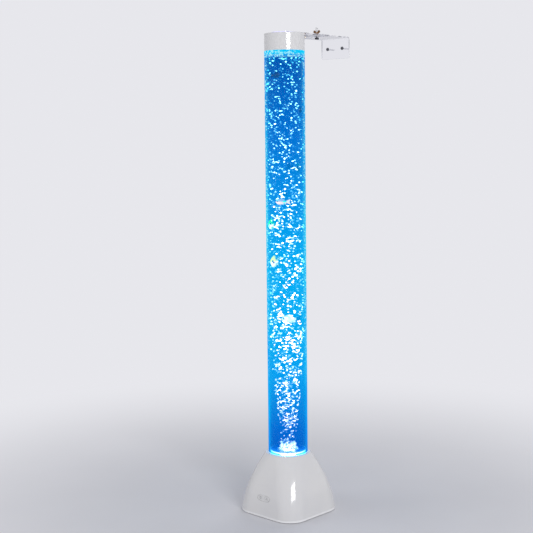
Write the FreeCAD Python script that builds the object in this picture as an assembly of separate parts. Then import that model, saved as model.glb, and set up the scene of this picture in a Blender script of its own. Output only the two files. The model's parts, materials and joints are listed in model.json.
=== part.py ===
import FreeCAD, Part
import math
import os

# Bubble tube floor lamp. Millimetres, +Z up. The origin is the centre of the base on the floor.
# The control buttons face -Y and the wall bracket reaches out towards +Y.

os.makedirs("parts", exist_ok=True)

Vector = FreeCAD.Vector
UP = Vector(0, 0, 1)
ALONG_X = Vector(1, 0, 0)
ALONG_Y = Vector(0, 1, 0)
ORIGIN = Vector(0, 0, 0)

# ---- driving dimensions: overall form ----
OVERALL_HEIGHT = 1200.0
TUBE_OUTER_R = 50.0
TUBE_WALL = 3.0
CAP_HEIGHT = 42.0
BASE_HEIGHT = 152.0
BASE_HALF_SIDE = 98.5
BASE_CORNER_R = 48.6
BASE_TOP_MARGIN = 6.0
BASE_TOP_HALF_SIDE = TUBE_OUTER_R + BASE_TOP_MARGIN
BASE_TOP_FLAT = 2.0
BASE_TOP_CORNER_R = BASE_TOP_HALF_SIDE - BASE_TOP_FLAT
BASE_BULGE_POWER = 1.7
BASE_WALL = 3.0
BASE_SECTIONS = 9
BASE_RIM_FILLET = 1.2
BASE_TOP_FILLET = 1.6
FLOOR_GAP = 1.5

# ---- clearances ----
TOUCH_GAP = 0.3
RUNNING_FIT = 0.05
SCREW_FIT = 0.1
SKIN_GAP = 0.35
EDGE_TOLERANCE = 0.01
OVAL_FLAT = 0.01

# ---- bottom plate, feet and its screws ----
PLATE_LIFT = 4.0
PLATE_THICK = 3.0
FOOT_R = 9.0
FOOT_CHAMFER = 0.4
FOOT_STEM_R = 3.0
FOOT_BARB_R = 4.0
FOOT_BARB_LENGTH = 2.0
FOOT_INSET = 32.5
FOOT_SPREAD = BASE_HALF_SIDE - FOOT_INSET
COVER_SCREW_INSET = 18.5
COVER_SCREW_X = BASE_HALF_SIDE - COVER_SCREW_INSET
COVER_SCREW_Y = 26.0
COVER_SCREW_DEPTH = 12.0
BOSS_R = 4.5
SCREW_R = 1.5
SCREW_HEAD_R = 3.4
SCREW_HEAD_HEIGHT = 2.2
SCREW_SLOT_WIDTH = 0.8
SCREW_SLOT_DEPTH = 0.9
SCREW_ROUND_SHARE = 0.6
VENT_COUNT = 5
VENT_LENGTH = 34.0
VENT_WIDTH = 3.0
VENT_PITCH = 7.0
VENT_CENTRE_Y = 62.0

# ---- frame that carries the tube inside the base ----
LEDGE_BELOW_TOP = 28.0
LEDGE_HEIGHT = BASE_HEIGHT - LEDGE_BELOW_TOP
LEDGE_THICK = 4.0
LEDGE_WIDTH = 8.0
LEDGE_INNER_R = TUBE_OUTER_R - LEDGE_WIDTH
CUP_WALL = 7.0
CUP_OUTER_R = TUBE_OUTER_R + CUP_WALL
CUP_HEIGHT = 12.0
POST_INSET = 12.0
POST_SPREAD = TUBE_OUTER_R - POST_INSET
POST_R = 5.0
FRAME_SCREW_DEPTH = 12.0

# ---- tube, its bottom and its seal ----
SEAL_WIDTH = 4.0
SEAL_HEIGHT = 5.0
DISC_THICK = 12.0
DISC_ABOVE_BASE = 6.0

# ---- air fitting and air stone on the tube's bottom ----
FITTING_STEM_R = 4.9
FITTING_FLANGE_R = 9.0
FITTING_FLANGE_THICK = 3.0
FITTING_WASHER_THICK = 1.5
FITTING_NUT_R = 9.0
FITTING_NUT_HEIGHT = 5.0
FITTING_TOP_R = 3.0
FITTING_TOP_LENGTH = 9.0
FITTING_BORE_R = 1.2
BARB_LENGTH = 14.0
AIR_STONE_R = 12.0
AIR_STONE_HEIGHT = 14.0
AIR_STONE_ROUND = 3.0

# ---- light board ----
LED_BOARD_MARGIN = 3.0
LED_BOARD_R = LEDGE_INNER_R + LED_BOARD_MARGIN
LED_BOARD_BORE_R = 11.0
LED_BOARD_THICK = 1.6
LED_BOARD_DROP = 4.0
LED_RING_INSET = 11.0
LED_RING_R = LEDGE_INNER_R - LED_RING_INSET
LED_COUNT = 12
LED_SIZE = 5.0
LED_HEIGHT = 1.6
LED_WELL_DEPTH = 0.4
LED_WELL_FLOOR_R = 1.5
LED_WELL_MOUTH_R = 2.0
LED_SCREW_MARGIN = 1.2
LED_SCREW_RING_R = LEDGE_INNER_R + LED_SCREW_MARGIN
LED_SCREW_COUNT = 3
LED_SCREW_R = 1.0
LED_SPACER_R = 1.7
LED_SCREW_HEAD_R = 1.7
LED_SCREW_HEAD_HEIGHT = 1.2

# ---- air pump ----
PUMP_HALF_LENGTH = 42.0
PUMP_HALF_WIDTH = 26.0
PUMP_CORNER_R = 8.0
PUMP_WALL = 2.0
PUMP_MOUNT_HEIGHT = 3.0
PUMP_MOUNT_R = 5.0
PUMP_MOUNT_X = 30.0
PUMP_MOUNT_Y = 15.0
PUMP_TRAY_HEIGHT = 18.0
PUMP_COVER_HEIGHT = 26.0
VALVE_BOX_LENGTH = 48.0
VALVE_BOX_X = -13.0
VALVE_BOX_HALF_WIDTH = 13.0
VALVE_BOX_HEIGHT = 14.0
OUTLET_X = 29.0
OUTLET_R = 2.9
OUTLET_BORE_R = 1.3
OUTLET_STAND = 8.0
DIAPHRAGM_R = 9.0
DIAPHRAGM_TOP_R = 4.5
DIAPHRAGM_HEIGHT = 6.0
PIVOT_X = 16.0
DIAPHRAGM_TO_PIVOT = 16.0
PIVOT_R = 1.5
PIVOT_ABOVE_BOX = 11.0
PIVOT_EAR_THICK = 3.0
PIVOT_EAR_R = 4.0
LEVER_THICK = 4.0
LEVER_HALF_WIDTH = 5.0
LEVER_HUB_R = 4.0
LEVER_TIP_X = -32.0
LEVER_POST_R = 2.0
MAGNET_LENGTH = 12.0
MAGNET_HALF_WIDTH = 6.0
MAGNET_THICK = 5.0
MAGNET_AIR_GAP = 2.6
CORE_HALF_WIDTH = 7.0
CORE_LEG = 5.0
CORE_X = -36.0
CORE_LENGTH = 20.0
COIL_WALL = 3.0
COIL_END_GAP = 1.5

# ---- air hoses and non-return valve ----
HOSE_WALL = 1.2
HOSE_GRIP = 6.0
CHECK_VALVE_R = 6.0
CHECK_VALVE_HEIGHT = 12.0
CHECK_VALVE_CONE = 3.0
HOSE_LOWER_LENGTH = 9.0
HOSE_STRAIGHT = 3.0

# ---- control board, switches and buttons ----
BUTTON_SPACING = 21.0
BUTTON_WIDTH = 17.0
BUTTON_HEIGHT = 11.0
BUTTON_Z = 49.0
BUTTON_TRAVEL = 1.0
BUTTON_LIP = 1.6
BUTTON_LIP_THICK = 1.4
BUTTON_STEM_R = 2.5
BUTTON_STEM_LENGTH = 1.2
BOARD_THICK = 1.6
BOARD_HALF_WIDTH = 30.0
BOARD_BOTTOM = 28.0
BOARD_TOP = 66.0
SWITCH_SIZE = 6.2
SWITCH_DEPTH = 3.4
PLUNGER_R = 1.7
PLUNGER_STAND = 1.4
PLUNGER_INSET = 1.2
POST_SLOT_WALL = 2.4
POST_SLOT_GRIP = 2.0

# ---- wires: inlet to board, board to lights, board to pump coil ----
WIRE_R = 1.2
WIRE_BEND_R = 6.0
WIRE_SIDE_X = 54.0
WIRE_BOARD_GAP = 16.4
WIRE_BOARD_X = 20.0
INLET_WIRE_Y = 66.0
INLET_WIRE_Z = 40.0
LIGHT_WIRE_Z = 58.0
LIGHT_WIRE_DROP = 12.4
LIGHT_WIRE_END_Y = -30.0
PUMP_WIRE_Z = 36.0
PUMP_WIRE_X = -4.0
COIL_WIRE_Z = 22.0

# ---- supply inlet in the back of the base ----
JACK_X = 40.0
JACK_Z = 26.0
JACK_BODY_R = 4.0
JACK_FLANGE_R = 5.6
JACK_FLANGE_THICK = 1.6
JACK_LENGTH = 14.0
JACK_BORE_R = 2.9
JACK_BORE_DEPTH = 9.5
JACK_PIN_R = 1.0
JACK_PIN_LENGTH = 8.5
JACK_NUT_R = 6.5
JACK_NUT_THICK = 2.4
JACK_PAD_R = 9.0
JACK_PAD_WALL = 3.0
JACK_SPOT_DEPTH = 0.6

# ---- water and toy fish ----
WATER_BELOW_CAP = 14.0
WATER_SKIN = 0.1
FISH_GAP = 0.4

# ---- cap ----
CAP_TOP_THICK = 4.0
CAP_TOP_FILLET = 1.0
SPIGOT_LENGTH = 11.0
SPIGOT_WALL = 2.2
SPIGOT_FIT = 0.35
CAP_RING_HEIGHT = 3.0
CAP_RING_DROP = 3.0
CAP_VENT_INSET = 9.0
CAP_VENT_X = TUBE_OUTER_R - CAP_VENT_INSET
CAP_VENT_R = 2.2

# ---- clear arm on the cap ----
ARM_THICK = 3.0
ARM_HALF_WIDTH = 32.0
ARM_END_Y = 137.0
ARM_CORNER_R = 10.0
ARM_SLOT_START = 61.0
ARM_SLOT_END = 133.5
ARM_SLOT_R = 2.8
ARM_SCREW_X = 14.0
ARM_SCREW_Y = 36.0
ARM_SCREW_R = 1.9
ARM_SCREW_HEAD_R = 3.8
ARM_SCREW_HEAD_HEIGHT = 2.4
ARM_BOSS_R = 4.2
ARM_BOSS_LENGTH = 8.0

# ---- wall bracket and its fasteners ----
WALL_Y = 195.0
BRACKET_HALF_WIDTH = 45.6
BRACKET_THICK = 3.0
BRACKET_DROP = 53.0
BRACKET_BEND_R = 6.0
BRACKET_CORNER_R = 4.0
BRACKET_INNER_Y = 63.0
BOLT_Y = 121.0
BOLT_R = 2.5
BOLT_LENGTH = 25.0
BOLT_HEAD_R = 5.0
BOLT_HEAD_HEIGHT = 4.6
WASHER_R = 6.0
WASHER_THICK = 1.0
GUIDE_Y = 74.0
GUIDE_R = 2.0
GUIDE_HEAD_R = 3.8
GUIDE_HEAD_HEIGHT = 2.6
GUIDE_NUT_R = 4.0
GUIDE_NUT_HEIGHT = 3.2
WING_HUB_R = 4.5
WING_HUB_HEIGHT = 6.0
WING_SPAN = 10.5
WING_HEIGHT = 11.0
WING_THICK = 2.0
WING_TIP_R = 3.2
WING_HUB_TOP_R = 3.7
WING_FOOT_Z = 0.8
WING_ROOT_X = 2.7
WING_ROOT_TOP_Z = 4.8
WALL_SCREW_X = 24.3
WALL_SCREW_DROP = 27.5
WALL_SCREW_R = 2.0
WALL_SCREW_NECK_R = 1.8
WALL_SCREW_HEAD_R = 4.2
WALL_SCREW_HEAD_HEIGHT = 2.6
WALL_SCREW_LENGTH = 28.0
WALL_SCREW_TIP = 5.0
WALL_SCREW_POINT_R = 0.4

# ---- heights that follow from the sizes above ----
TUBE_INNER_R = TUBE_OUTER_R - TUBE_WALL
TUBE_TOP = OVERALL_HEIGHT - CAP_HEIGHT
TUBE_BOTTOM = LEDGE_HEIGHT + LEDGE_THICK
PLATE_TOP = PLATE_LIFT + PLATE_THICK
DISC_TOP = BASE_HEIGHT + DISC_ABOVE_BASE
DISC_BOTTOM = DISC_TOP - DISC_THICK
WATER_TOP = TUBE_TOP - WATER_BELOW_CAP
LED_BOARD_TOP = LEDGE_HEIGHT - LED_BOARD_DROP
LED_BOARD_BOTTOM = LED_BOARD_TOP - LED_BOARD_THICK
PUMP_FLOOR = PLATE_TOP + PUMP_MOUNT_HEIGHT
PUMP_JOIN = PUMP_FLOOR + PUMP_TRAY_HEIGHT
PUMP_TOP = PUMP_JOIN + PUMP_COVER_HEIGHT
VALVE_BOX_BOTTOM = PUMP_FLOOR + PUMP_WALL
VALVE_BOX_TOP = VALVE_BOX_BOTTOM + VALVE_BOX_HEIGHT
PIVOT_Z = VALVE_BOX_TOP + PIVOT_ABOVE_BOX
ARM_BOTTOM = OVERALL_HEIGHT
ARM_TOP = ARM_BOTTOM + ARM_THICK
BRACKET_TOP = ARM_BOTTOM
BRACKET_UNDER = BRACKET_TOP - BRACKET_THICK


def cylinder(radius, low, high, x=0.0, y=0.0):
    return Part.makeCylinder(radius, high - low, Vector(x, y, low), UP)


def ring(outer, inner, low, high, x=0.0, y=0.0):
    return cylinder(outer, low, high, x, y).cut(cylinder(inner, low, high, x, y))


def cylinder_y(radius, low_y, high_y, x, z):
    return Part.makeCylinder(radius, high_y - low_y, Vector(x, low_y, z), ALONG_Y)


def box(low, high):
    size = Vector(*high).sub(Vector(*low))
    return Part.makeBox(size.x, size.y, size.z, Vector(*low))


def fused(first, *others):
    return first.multiFuse(list(others)).removeSplitter()


def spin(shape, degrees, centre=ORIGIN, axis=UP):
    turned = shape.copy()
    turned.rotate(centre, axis, degrees)
    return turned


def moved(shape, x, y, z):
    shifted = shape.copy()
    shifted.translate(Vector(x, y, z))
    return shifted


def save(node, *solids):
    shape = solids[0] if len(solids) == 1 else Part.makeCompound(list(solids))
    shape.exportStep("parts/" + node + ".step")
    print(node, "solids", len(shape.Solids), "valid", shape.isValid(), "volume", round(shape.Volume, 1))


def rounded_rectangle(half_x, half_y, radius, z):
    """A closed outline of four straight sides and four corner arcs, in the plane at height z."""
    in_x = half_x - radius
    in_y = half_y - radius
    edges = []
    for quarter, (side_x, side_y) in enumerate(((1, 1), (-1, 1), (-1, -1), (1, -1))):
        centre = Vector(side_x * in_x, side_y * in_y, z)
        start_angle = math.pi / 2 * quarter
        points = []
        for part in range(3):
            angle = start_angle + math.pi / 4 * part
            points.append(centre.add(Vector(radius * math.cos(angle), radius * math.sin(angle), 0)))
        if edges:
            edges.append(Part.LineSegment(last_point, points[0]).toShape())
        else:
            first_point = points[0]
        edges.append(Part.Arc(*points).toShape())
        last_point = points[2]
    edges.append(Part.LineSegment(last_point, first_point).toShape())
    return Part.Wire(edges)


def rounded_block(half_x, half_y, radius, low, high):
    face = Part.Face(rounded_rectangle(half_x, half_y, radius, low))
    return face.extrude(Vector(0, 0, high - low))


def screw_head(radius, height, shank_r):
    """A pan head with a screwdriver slot, on its shank's end at z = 0, with its top at z = height."""
    rounding = (radius - shank_r) / 2
    head = cylinder(radius, 0, height)
    rim = [edge for edge in head.Edges if edge.BoundBox.ZMin > height / 2]
    rim = [edge for edge in rim if len(edge.Vertexes) == 1]
    head = head.makeFillet(min(rounding, height * SCREW_ROUND_SHARE), rim)
    slot_low = (-radius, -SCREW_SLOT_WIDTH / 2, height - SCREW_SLOT_DEPTH)
    return head.cut(box(slot_low, (radius, SCREW_SLOT_WIDTH / 2, height)))


def screw(shank_r, length, head_r, head_height):
    """A screw whose shank hangs from z = 0 down to -length, with its head above."""
    return fused(screw_head(head_r, head_height, shank_r), cylinder(shank_r, -length, 0))


def upside_down(shape):
    return spin(shape, 180, ORIGIN, ALONG_X)


def hexagon(across_corners_r, low, high, x, y, bore_r):
    corners = []
    for number in range(7):
        angle = math.radians(60 * number)
        corner_x = x + across_corners_r * math.cos(angle)
        corner_y = y + across_corners_r * math.sin(angle)
        corners.append(Vector(corner_x, corner_y, low))
    block = Part.Face(Part.makePolygon(corners)).extrude(Vector(0, 0, high - low))
    return block.cut(cylinder(bore_r, low, high, x, y))


# ---- base: a rounded square at the floor that rises in a convex curve to a near circle ----
def base_share(z):
    """1 at the floor and 0 at the top: how far the outline still is from its top size."""
    return 1 - (z / BASE_HEIGHT) ** BASE_BULGE_POWER


def base_half_side(z):
    return BASE_TOP_HALF_SIDE + (BASE_HALF_SIDE - BASE_TOP_HALF_SIDE) * base_share(z)


def base_corner(z):
    return BASE_TOP_CORNER_R + (BASE_CORNER_R - BASE_TOP_CORNER_R) * base_share(z)


def base_form(inset, low, high):
    """The base's outer form between two heights, drawn in by an inset."""
    outlines = []
    for level in range(BASE_SECTIONS):
        z = low + (high - low) * level / (BASE_SECTIONS - 1)
        half_side = base_half_side(z) - inset
        outlines.append(rounded_rectangle(half_side, half_side, base_corner(z) - inset, z))
    return Part.makeLoft(outlines, True, False)


def level_edges(shape, z):
    """The edges that lie wholly at height z."""
    edges = [edge for edge in shape.Edges if abs(edge.BoundBox.ZMin - z) < EDGE_TOLERANCE]
    return [edge for edge in edges if abs(edge.BoundBox.ZMax - z) < EDGE_TOLERANCE]


base_skin = base_form(0.0, FLOOR_GAP, BASE_HEIGHT)
base_outside = base_skin.makeFillet(BASE_RIM_FILLET, level_edges(base_skin, FLOOR_GAP))
base_outside = base_outside.makeFillet(BASE_TOP_FILLET, level_edges(base_outside, BASE_HEIGHT))
base_inside = base_form(BASE_WALL, FLOOR_GAP, BASE_HEIGHT - BASE_WALL)

seal_top = BASE_HEIGHT - BASE_WALL
seal_bottom = seal_top - SEAL_HEIGHT
seal_outer_r = TUBE_OUTER_R + SEAL_WIDTH

cover_screw_spots = [(sx * COVER_SCREW_X, sy * COVER_SCREW_Y) for sx in (-1, 1) for sy in (-1, 1)]
post_spots = [(sx * POST_SPREAD, sy * POST_SPREAD) for sx in (-1, 1) for sy in (-1, 1)]
foot_spots = [(sx * FOOT_SPREAD, sy * FOOT_SPREAD) for sx in (-1, 1) for sy in (-1, 1)]
button_spots = [("power", -BUTTON_SPACING / 2), ("colour", BUTTON_SPACING / 2)]

lip_top_z = BUTTON_Z + BUTTON_HEIGHT / 2 + BUTTON_LIP
lip_front_y = -(base_half_side(lip_top_z) - BASE_WALL) + TOUCH_GAP
lip_back_y = lip_front_y + BUTTON_LIP_THICK
plunger_front_y = lip_back_y + BUTTON_STEM_LENGTH
switch_front_y = plunger_front_y + PLUNGER_STAND
board_front_y = switch_front_y + SWITCH_DEPTH
board_back_y = board_front_y + BOARD_THICK


def button_prism(grow, low_y, high_y, x):
    """An oval bar along Y: the shape of a button, or with grow more, of its hole or its lip."""
    half_width = BUTTON_WIDTH / 2 + grow
    half_height = BUTTON_HEIGHT / 2 + grow
    bar = rounded_block(half_width, half_height, half_height - OVAL_FLAT, 0, high_y - low_y)
    return moved(spin(bar, -90, ORIGIN, ALONG_X), x, low_y, BUTTON_Z)


def make_base_shell():
    shell = base_outside.cut(base_inside)
    bosses = []
    for x, y in cover_screw_spots:
        bosses.append(cylinder(BOSS_R, PLATE_TOP, BASE_HEIGHT, x, y))
    bosses.append(cylinder_y(JACK_PAD_R, jack_pad_inner_y, BASE_HALF_SIDE, JACK_X, JACK_Z))
    bosses.append(ring(seal_outer_r + BASE_WALL / 2, seal_outer_r, seal_bottom, seal_top + BASE_WALL / 2))
    shell = fused(shell, *[boss.common(base_skin) for boss in bosses])
    cuts = [cylinder(TUBE_OUTER_R + TOUCH_GAP, seal_bottom, BASE_HEIGHT)]
    cuts.append(cylinder(seal_outer_r, seal_bottom, seal_top))
    for x, y in cover_screw_spots:
        cuts.append(cylinder(SCREW_R, PLATE_TOP, PLATE_TOP + COVER_SCREW_DEPTH, x, y))
    for name, x in button_spots:
        cuts.append(button_prism(SKIN_GAP, -BASE_HALF_SIDE, board_front_y, x))
    cuts.append(cylinder_y(JACK_FLANGE_R + SKIN_GAP, jack_seat_y, BASE_HALF_SIDE, JACK_X, JACK_Z))
    cuts.append(cylinder_y(JACK_BODY_R + SCREW_FIT, 0, BASE_HALF_SIDE, JACK_X, JACK_Z))
    return shell.cut(cuts)


jack_pad_inner_y = base_half_side(JACK_Z) - BASE_WALL - JACK_PAD_WALL
jack_seat_y = base_half_side(JACK_Z + JACK_FLANGE_R) - JACK_SPOT_DEPTH
save("base_shell", make_base_shell())

# ---- bottom plate with its board posts, vents, feet and screws ----
plate_half_side = base_half_side(PLATE_TOP) - BASE_WALL - TOUCH_GAP
plate_corner_r = base_corner(PLATE_TOP) - BASE_WALL - TOUCH_GAP


def make_bottom_plate():
    plate = rounded_block(plate_half_side, plate_half_side, plate_corner_r, PLATE_LIFT, PLATE_TOP)
    posts = []
    for side in (-1, 1):
        inner_x = side * (BOARD_HALF_WIDTH - POST_SLOT_GRIP)
        outer_x = side * (BOARD_HALF_WIDTH + POST_SLOT_WALL)
        low = (min(inner_x, outer_x), board_front_y - POST_SLOT_WALL, PLATE_TOP)
        high = (max(inner_x, outer_x), board_back_y + POST_SLOT_WALL, BOARD_TOP)
        posts.append(box(low, high))
    plate = fused(plate, *posts)
    board_corner = (BOARD_HALF_WIDTH, board_back_y, BOARD_TOP)
    cuts = [box((-BOARD_HALF_WIDTH, board_front_y, BOARD_BOTTOM), board_corner)]
    for x, y in cover_screw_spots + post_spots:
        cuts.append(cylinder(SCREW_R + SCREW_FIT, PLATE_LIFT, PLATE_TOP, x, y))
    for x, y in foot_spots:
        cuts.append(cylinder(FOOT_STEM_R, PLATE_LIFT, PLATE_TOP, x, y))
    for number in range(VENT_COUNT):
        x = (number - (VENT_COUNT - 1) / 2) * VENT_PITCH
        half_slot = VENT_WIDTH / 2
        slot = rounded_block(half_slot, VENT_LENGTH / 2, half_slot - OVAL_FLAT, PLATE_LIFT, PLATE_TOP)
        cuts.append(moved(slot, x, VENT_CENTRE_Y, 0))
    return plate.cut(cuts)


def make_foot(x, y):
    tread = cylinder(FOOT_R, 0, PLATE_LIFT, x, y)
    tread = tread.makeChamfer(FOOT_CHAMFER, level_edges(tread, 0))
    stem = cylinder(FOOT_STEM_R, PLATE_LIFT, PLATE_TOP, x, y)
    barb = Part.makeCone(FOOT_BARB_R, FOOT_STEM_R, FOOT_BARB_LENGTH, Vector(x, y, PLATE_TOP), UP)
    return fused(tread, stem, barb)


save("bottom_plate", make_bottom_plate())
save("rubber_feet", *[make_foot(x, y) for x, y in foot_spots])

cover_screw = upside_down(screw(SCREW_R, PLATE_THICK + COVER_SCREW_DEPTH, SCREW_HEAD_R, SCREW_HEAD_HEIGHT))
frame_screw = upside_down(screw(SCREW_R, PLATE_THICK + FRAME_SCREW_DEPTH, SCREW_HEAD_R, SCREW_HEAD_HEIGHT))
save("cover_screws", *[moved(cover_screw, x, y, PLATE_LIFT) for x, y in cover_screw_spots])
save("frame_screws", *[moved(frame_screw, x, y, PLATE_LIFT) for x, y in post_spots])


# ---- tube support frame: a cup on four posts ----
def led_screw_spots():
    spots = []
    for number in range(LED_SCREW_COUNT):
        angle = math.radians(360 * number / LED_SCREW_COUNT + 90)
        spots.append((LED_SCREW_RING_R * math.cos(angle), LED_SCREW_RING_R * math.sin(angle)))
    return spots


def make_support_frame():
    ledge = cylinder(CUP_OUTER_R, LEDGE_HEIGHT, TUBE_BOTTOM + CUP_HEIGHT)
    posts = [cylinder(POST_R, PLATE_TOP, TUBE_BOTTOM, x, y) for x, y in post_spots]
    frame = fused(ledge, *posts)
    cuts = [cylinder(TUBE_OUTER_R + TOUCH_GAP, TUBE_BOTTOM, TUBE_BOTTOM + CUP_HEIGHT)]
    cuts.append(cylinder(LEDGE_INNER_R, LEDGE_HEIGHT, TUBE_BOTTOM))
    for x, y in post_spots:
        cuts.append(cylinder(SCREW_R, PLATE_TOP, PLATE_TOP + FRAME_SCREW_DEPTH, x, y))
    for x, y in led_screw_spots():
        cuts.append(cylinder(LED_SCREW_R, LEDGE_HEIGHT, LEDGE_HEIGHT + LEDGE_THICK / 2, x, y))
    return frame.cut(cuts)


save("support_frame", make_support_frame())

# ---- tube, bottom disc and seal ----
disc_hole_r = FITTING_STEM_R + SCREW_FIT
save("tube", ring(TUBE_OUTER_R, TUBE_INNER_R, TUBE_BOTTOM, TUBE_TOP))
save("bottom_disc", ring(TUBE_INNER_R, disc_hole_r, DISC_BOTTOM, DISC_TOP))
save("collar_seal", ring(seal_outer_r, TUBE_OUTER_R, seal_bottom, seal_top))

# ---- light board under the tube ----
led_board = ring(LED_BOARD_R, LED_BOARD_BORE_R, LED_BOARD_BOTTOM, LED_BOARD_TOP)
led_holes = [cylinder(LED_SCREW_R, LED_BOARD_BOTTOM, LED_BOARD_TOP, x, y) for x, y in led_screw_spots()]
save("led_board", led_board.cut(led_holes))


def make_led(number):
    """A square light package with a shallow round lens well in its top."""
    half = LED_SIZE / 2
    top = LED_BOARD_TOP + LED_HEIGHT
    body = box((LED_RING_R - half, -half, LED_BOARD_TOP), (LED_RING_R + half, half, top))
    well_floor = Vector(LED_RING_R, 0, top - LED_WELL_DEPTH)
    well = Part.makeCone(LED_WELL_FLOOR_R, LED_WELL_MOUTH_R, LED_WELL_DEPTH, well_floor, UP)
    return spin(body.cut(well), 360 * number / LED_COUNT)


save("led_lights", *[make_led(number) for number in range(LED_COUNT)])


def make_led_fasteners():
    """Spacers between the light board and the ledge, and the screws through them from below."""
    solids = []
    length = LED_BOARD_THICK + LED_BOARD_DROP + LEDGE_THICK / 2
    fastener = upside_down(screw(LED_SCREW_R, length, LED_SCREW_HEAD_R, LED_SCREW_HEAD_HEIGHT))
    for x, y in led_screw_spots():
        spacer = ring(LED_SPACER_R, LED_SCREW_R, LED_BOARD_TOP, LEDGE_HEIGHT, x, y)
        solids.append(spacer)
        solids.append(moved(fastener, x, y, LED_BOARD_BOTTOM))
    return solids


save("led_board_screws", *make_led_fasteners())

# ---- air fitting through the bottom disc, with its washer, nut and air stone ----
flange_top = DISC_BOTTOM - FITTING_WASHER_THICK
flange_bottom = flange_top - FITTING_FLANGE_THICK
barb_bottom = flange_bottom - BARB_LENGTH
nut_top = DISC_TOP + FITTING_NUT_HEIGHT
hose_bore_r = OUTLET_R
hose_outer_r = hose_bore_r + HOSE_WALL


def make_air_fitting():
    solids = [cylinder(FITTING_FLANGE_R, flange_bottom, flange_top)]
    solids.append(cylinder(hose_bore_r, barb_bottom, flange_bottom))
    solids.append(cylinder(FITTING_TOP_R, nut_top, nut_top + FITTING_TOP_LENGTH))
    body = fused(cylinder(FITTING_STEM_R, flange_top, nut_top), *solids)
    return body.cut(cylinder(FITTING_BORE_R, barb_bottom, nut_top + FITTING_TOP_LENGTH))


def make_air_stone():
    stone = cylinder(AIR_STONE_R, nut_top, nut_top + AIR_STONE_HEIGHT)
    stone = stone.makeFillet(AIR_STONE_ROUND, level_edges(stone, nut_top + AIR_STONE_HEIGHT))
    return stone.cut(cylinder(FITTING_TOP_R, nut_top, nut_top + FITTING_TOP_LENGTH))


save("air_fitting", make_air_fitting())
save("fitting_washer", ring(FITTING_FLANGE_R, FITTING_STEM_R, flange_top, DISC_BOTTOM))
save("fitting_nut", hexagon(FITTING_NUT_R, DISC_TOP, nut_top, 0, 0, FITTING_STEM_R + RUNNING_FIT))
save("air_stone", make_air_stone())


# ---- air pump: tray and cover, electromagnet, swinging lever, diaphragm and valve box ----
def pump_case(low, high, floor_low, floor_high):
    """A rectangular tray: walls from low to high with the flat side between floor_low and floor_high."""
    outer = rounded_block(PUMP_HALF_LENGTH, PUMP_HALF_WIDTH, PUMP_CORNER_R, low, high)
    half_x = PUMP_HALF_LENGTH - PUMP_WALL
    half_y = PUMP_HALF_WIDTH - PUMP_WALL
    open_low = floor_high if floor_low == low else low
    open_high = floor_low if floor_high == high else high
    return outer.cut(rounded_block(half_x, half_y, PUMP_CORNER_R - PUMP_WALL, open_low, open_high))


outlet_top = PUMP_TOP + OUTLET_STAND
pump_tray = pump_case(PUMP_FLOOR, PUMP_JOIN, PUMP_FLOOR, PUMP_FLOOR + PUMP_WALL)
wire_hole_start = Vector(-PUMP_HALF_LENGTH, 0, COIL_WIRE_Z)
wire_hole = Part.makeCylinder(WIRE_R + SCREW_FIT, PUMP_HALF_LENGTH, wire_hole_start, ALONG_X)
save("pump_tray", pump_tray.cut(wire_hole))
pump_cover = pump_case(PUMP_JOIN, PUMP_TOP, PUMP_TOP - PUMP_WALL, PUMP_TOP)
save("pump_cover", pump_cover.cut(cylinder(OUTLET_R + SCREW_FIT, PUMP_JOIN, PUMP_TOP, OUTLET_X, 0)))
mount_spots = [(sx * PUMP_MOUNT_X, sy * PUMP_MOUNT_Y) for sx in (-1, 1) for sy in (-1, 1)]
save("pump_mounts", *[cylinder(PUMP_MOUNT_R, PLATE_TOP, PUMP_FLOOR, x, y) for x, y in mount_spots])

lever_bottom = PIVOT_Z - LEVER_THICK / 2
magnet_bottom = lever_bottom - MAGNET_THICK
core_bottom = PUMP_FLOOR + PUMP_WALL
core_top = magnet_bottom - MAGNET_AIR_GAP
core_end_x = CORE_X + CORE_LENGTH
diaphragm_x = PIVOT_X - DIAPHRAGM_TO_PIVOT
ear_inner_y = LEVER_HALF_WIDTH + TOUCH_GAP
ear_outer_y = ear_inner_y + PIVOT_EAR_THICK


def make_pump_core():
    """A U of sheet iron with its two legs up, under the lever's magnet."""
    block = box((CORE_X, -CORE_HALF_WIDTH, core_bottom), (core_end_x, CORE_HALF_WIDTH, core_top))
    gap_low = (CORE_X + CORE_LEG, -CORE_HALF_WIDTH, core_bottom + CORE_LEG)
    gap_high = (core_end_x - CORE_LEG, CORE_HALF_WIDTH, core_top)
    return block.cut(box(gap_low, gap_high))


def make_pump_coil():
    """The winding round the core's outer leg."""
    low = core_bottom + CORE_LEG + COIL_END_GAP
    high = core_top - COIL_END_GAP
    leg_centre = CORE_X + CORE_LEG / 2
    half_y = CORE_HALF_WIDTH + COIL_WALL
    winding = moved(rounded_block(CORE_LEG / 2 + COIL_WALL, half_y, COIL_WALL, low, high), leg_centre, 0, 0)
    leg = box((CORE_X, -CORE_HALF_WIDTH, low), (CORE_X + CORE_LEG, CORE_HALF_WIDTH, high))
    return winding.cut(leg)


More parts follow.
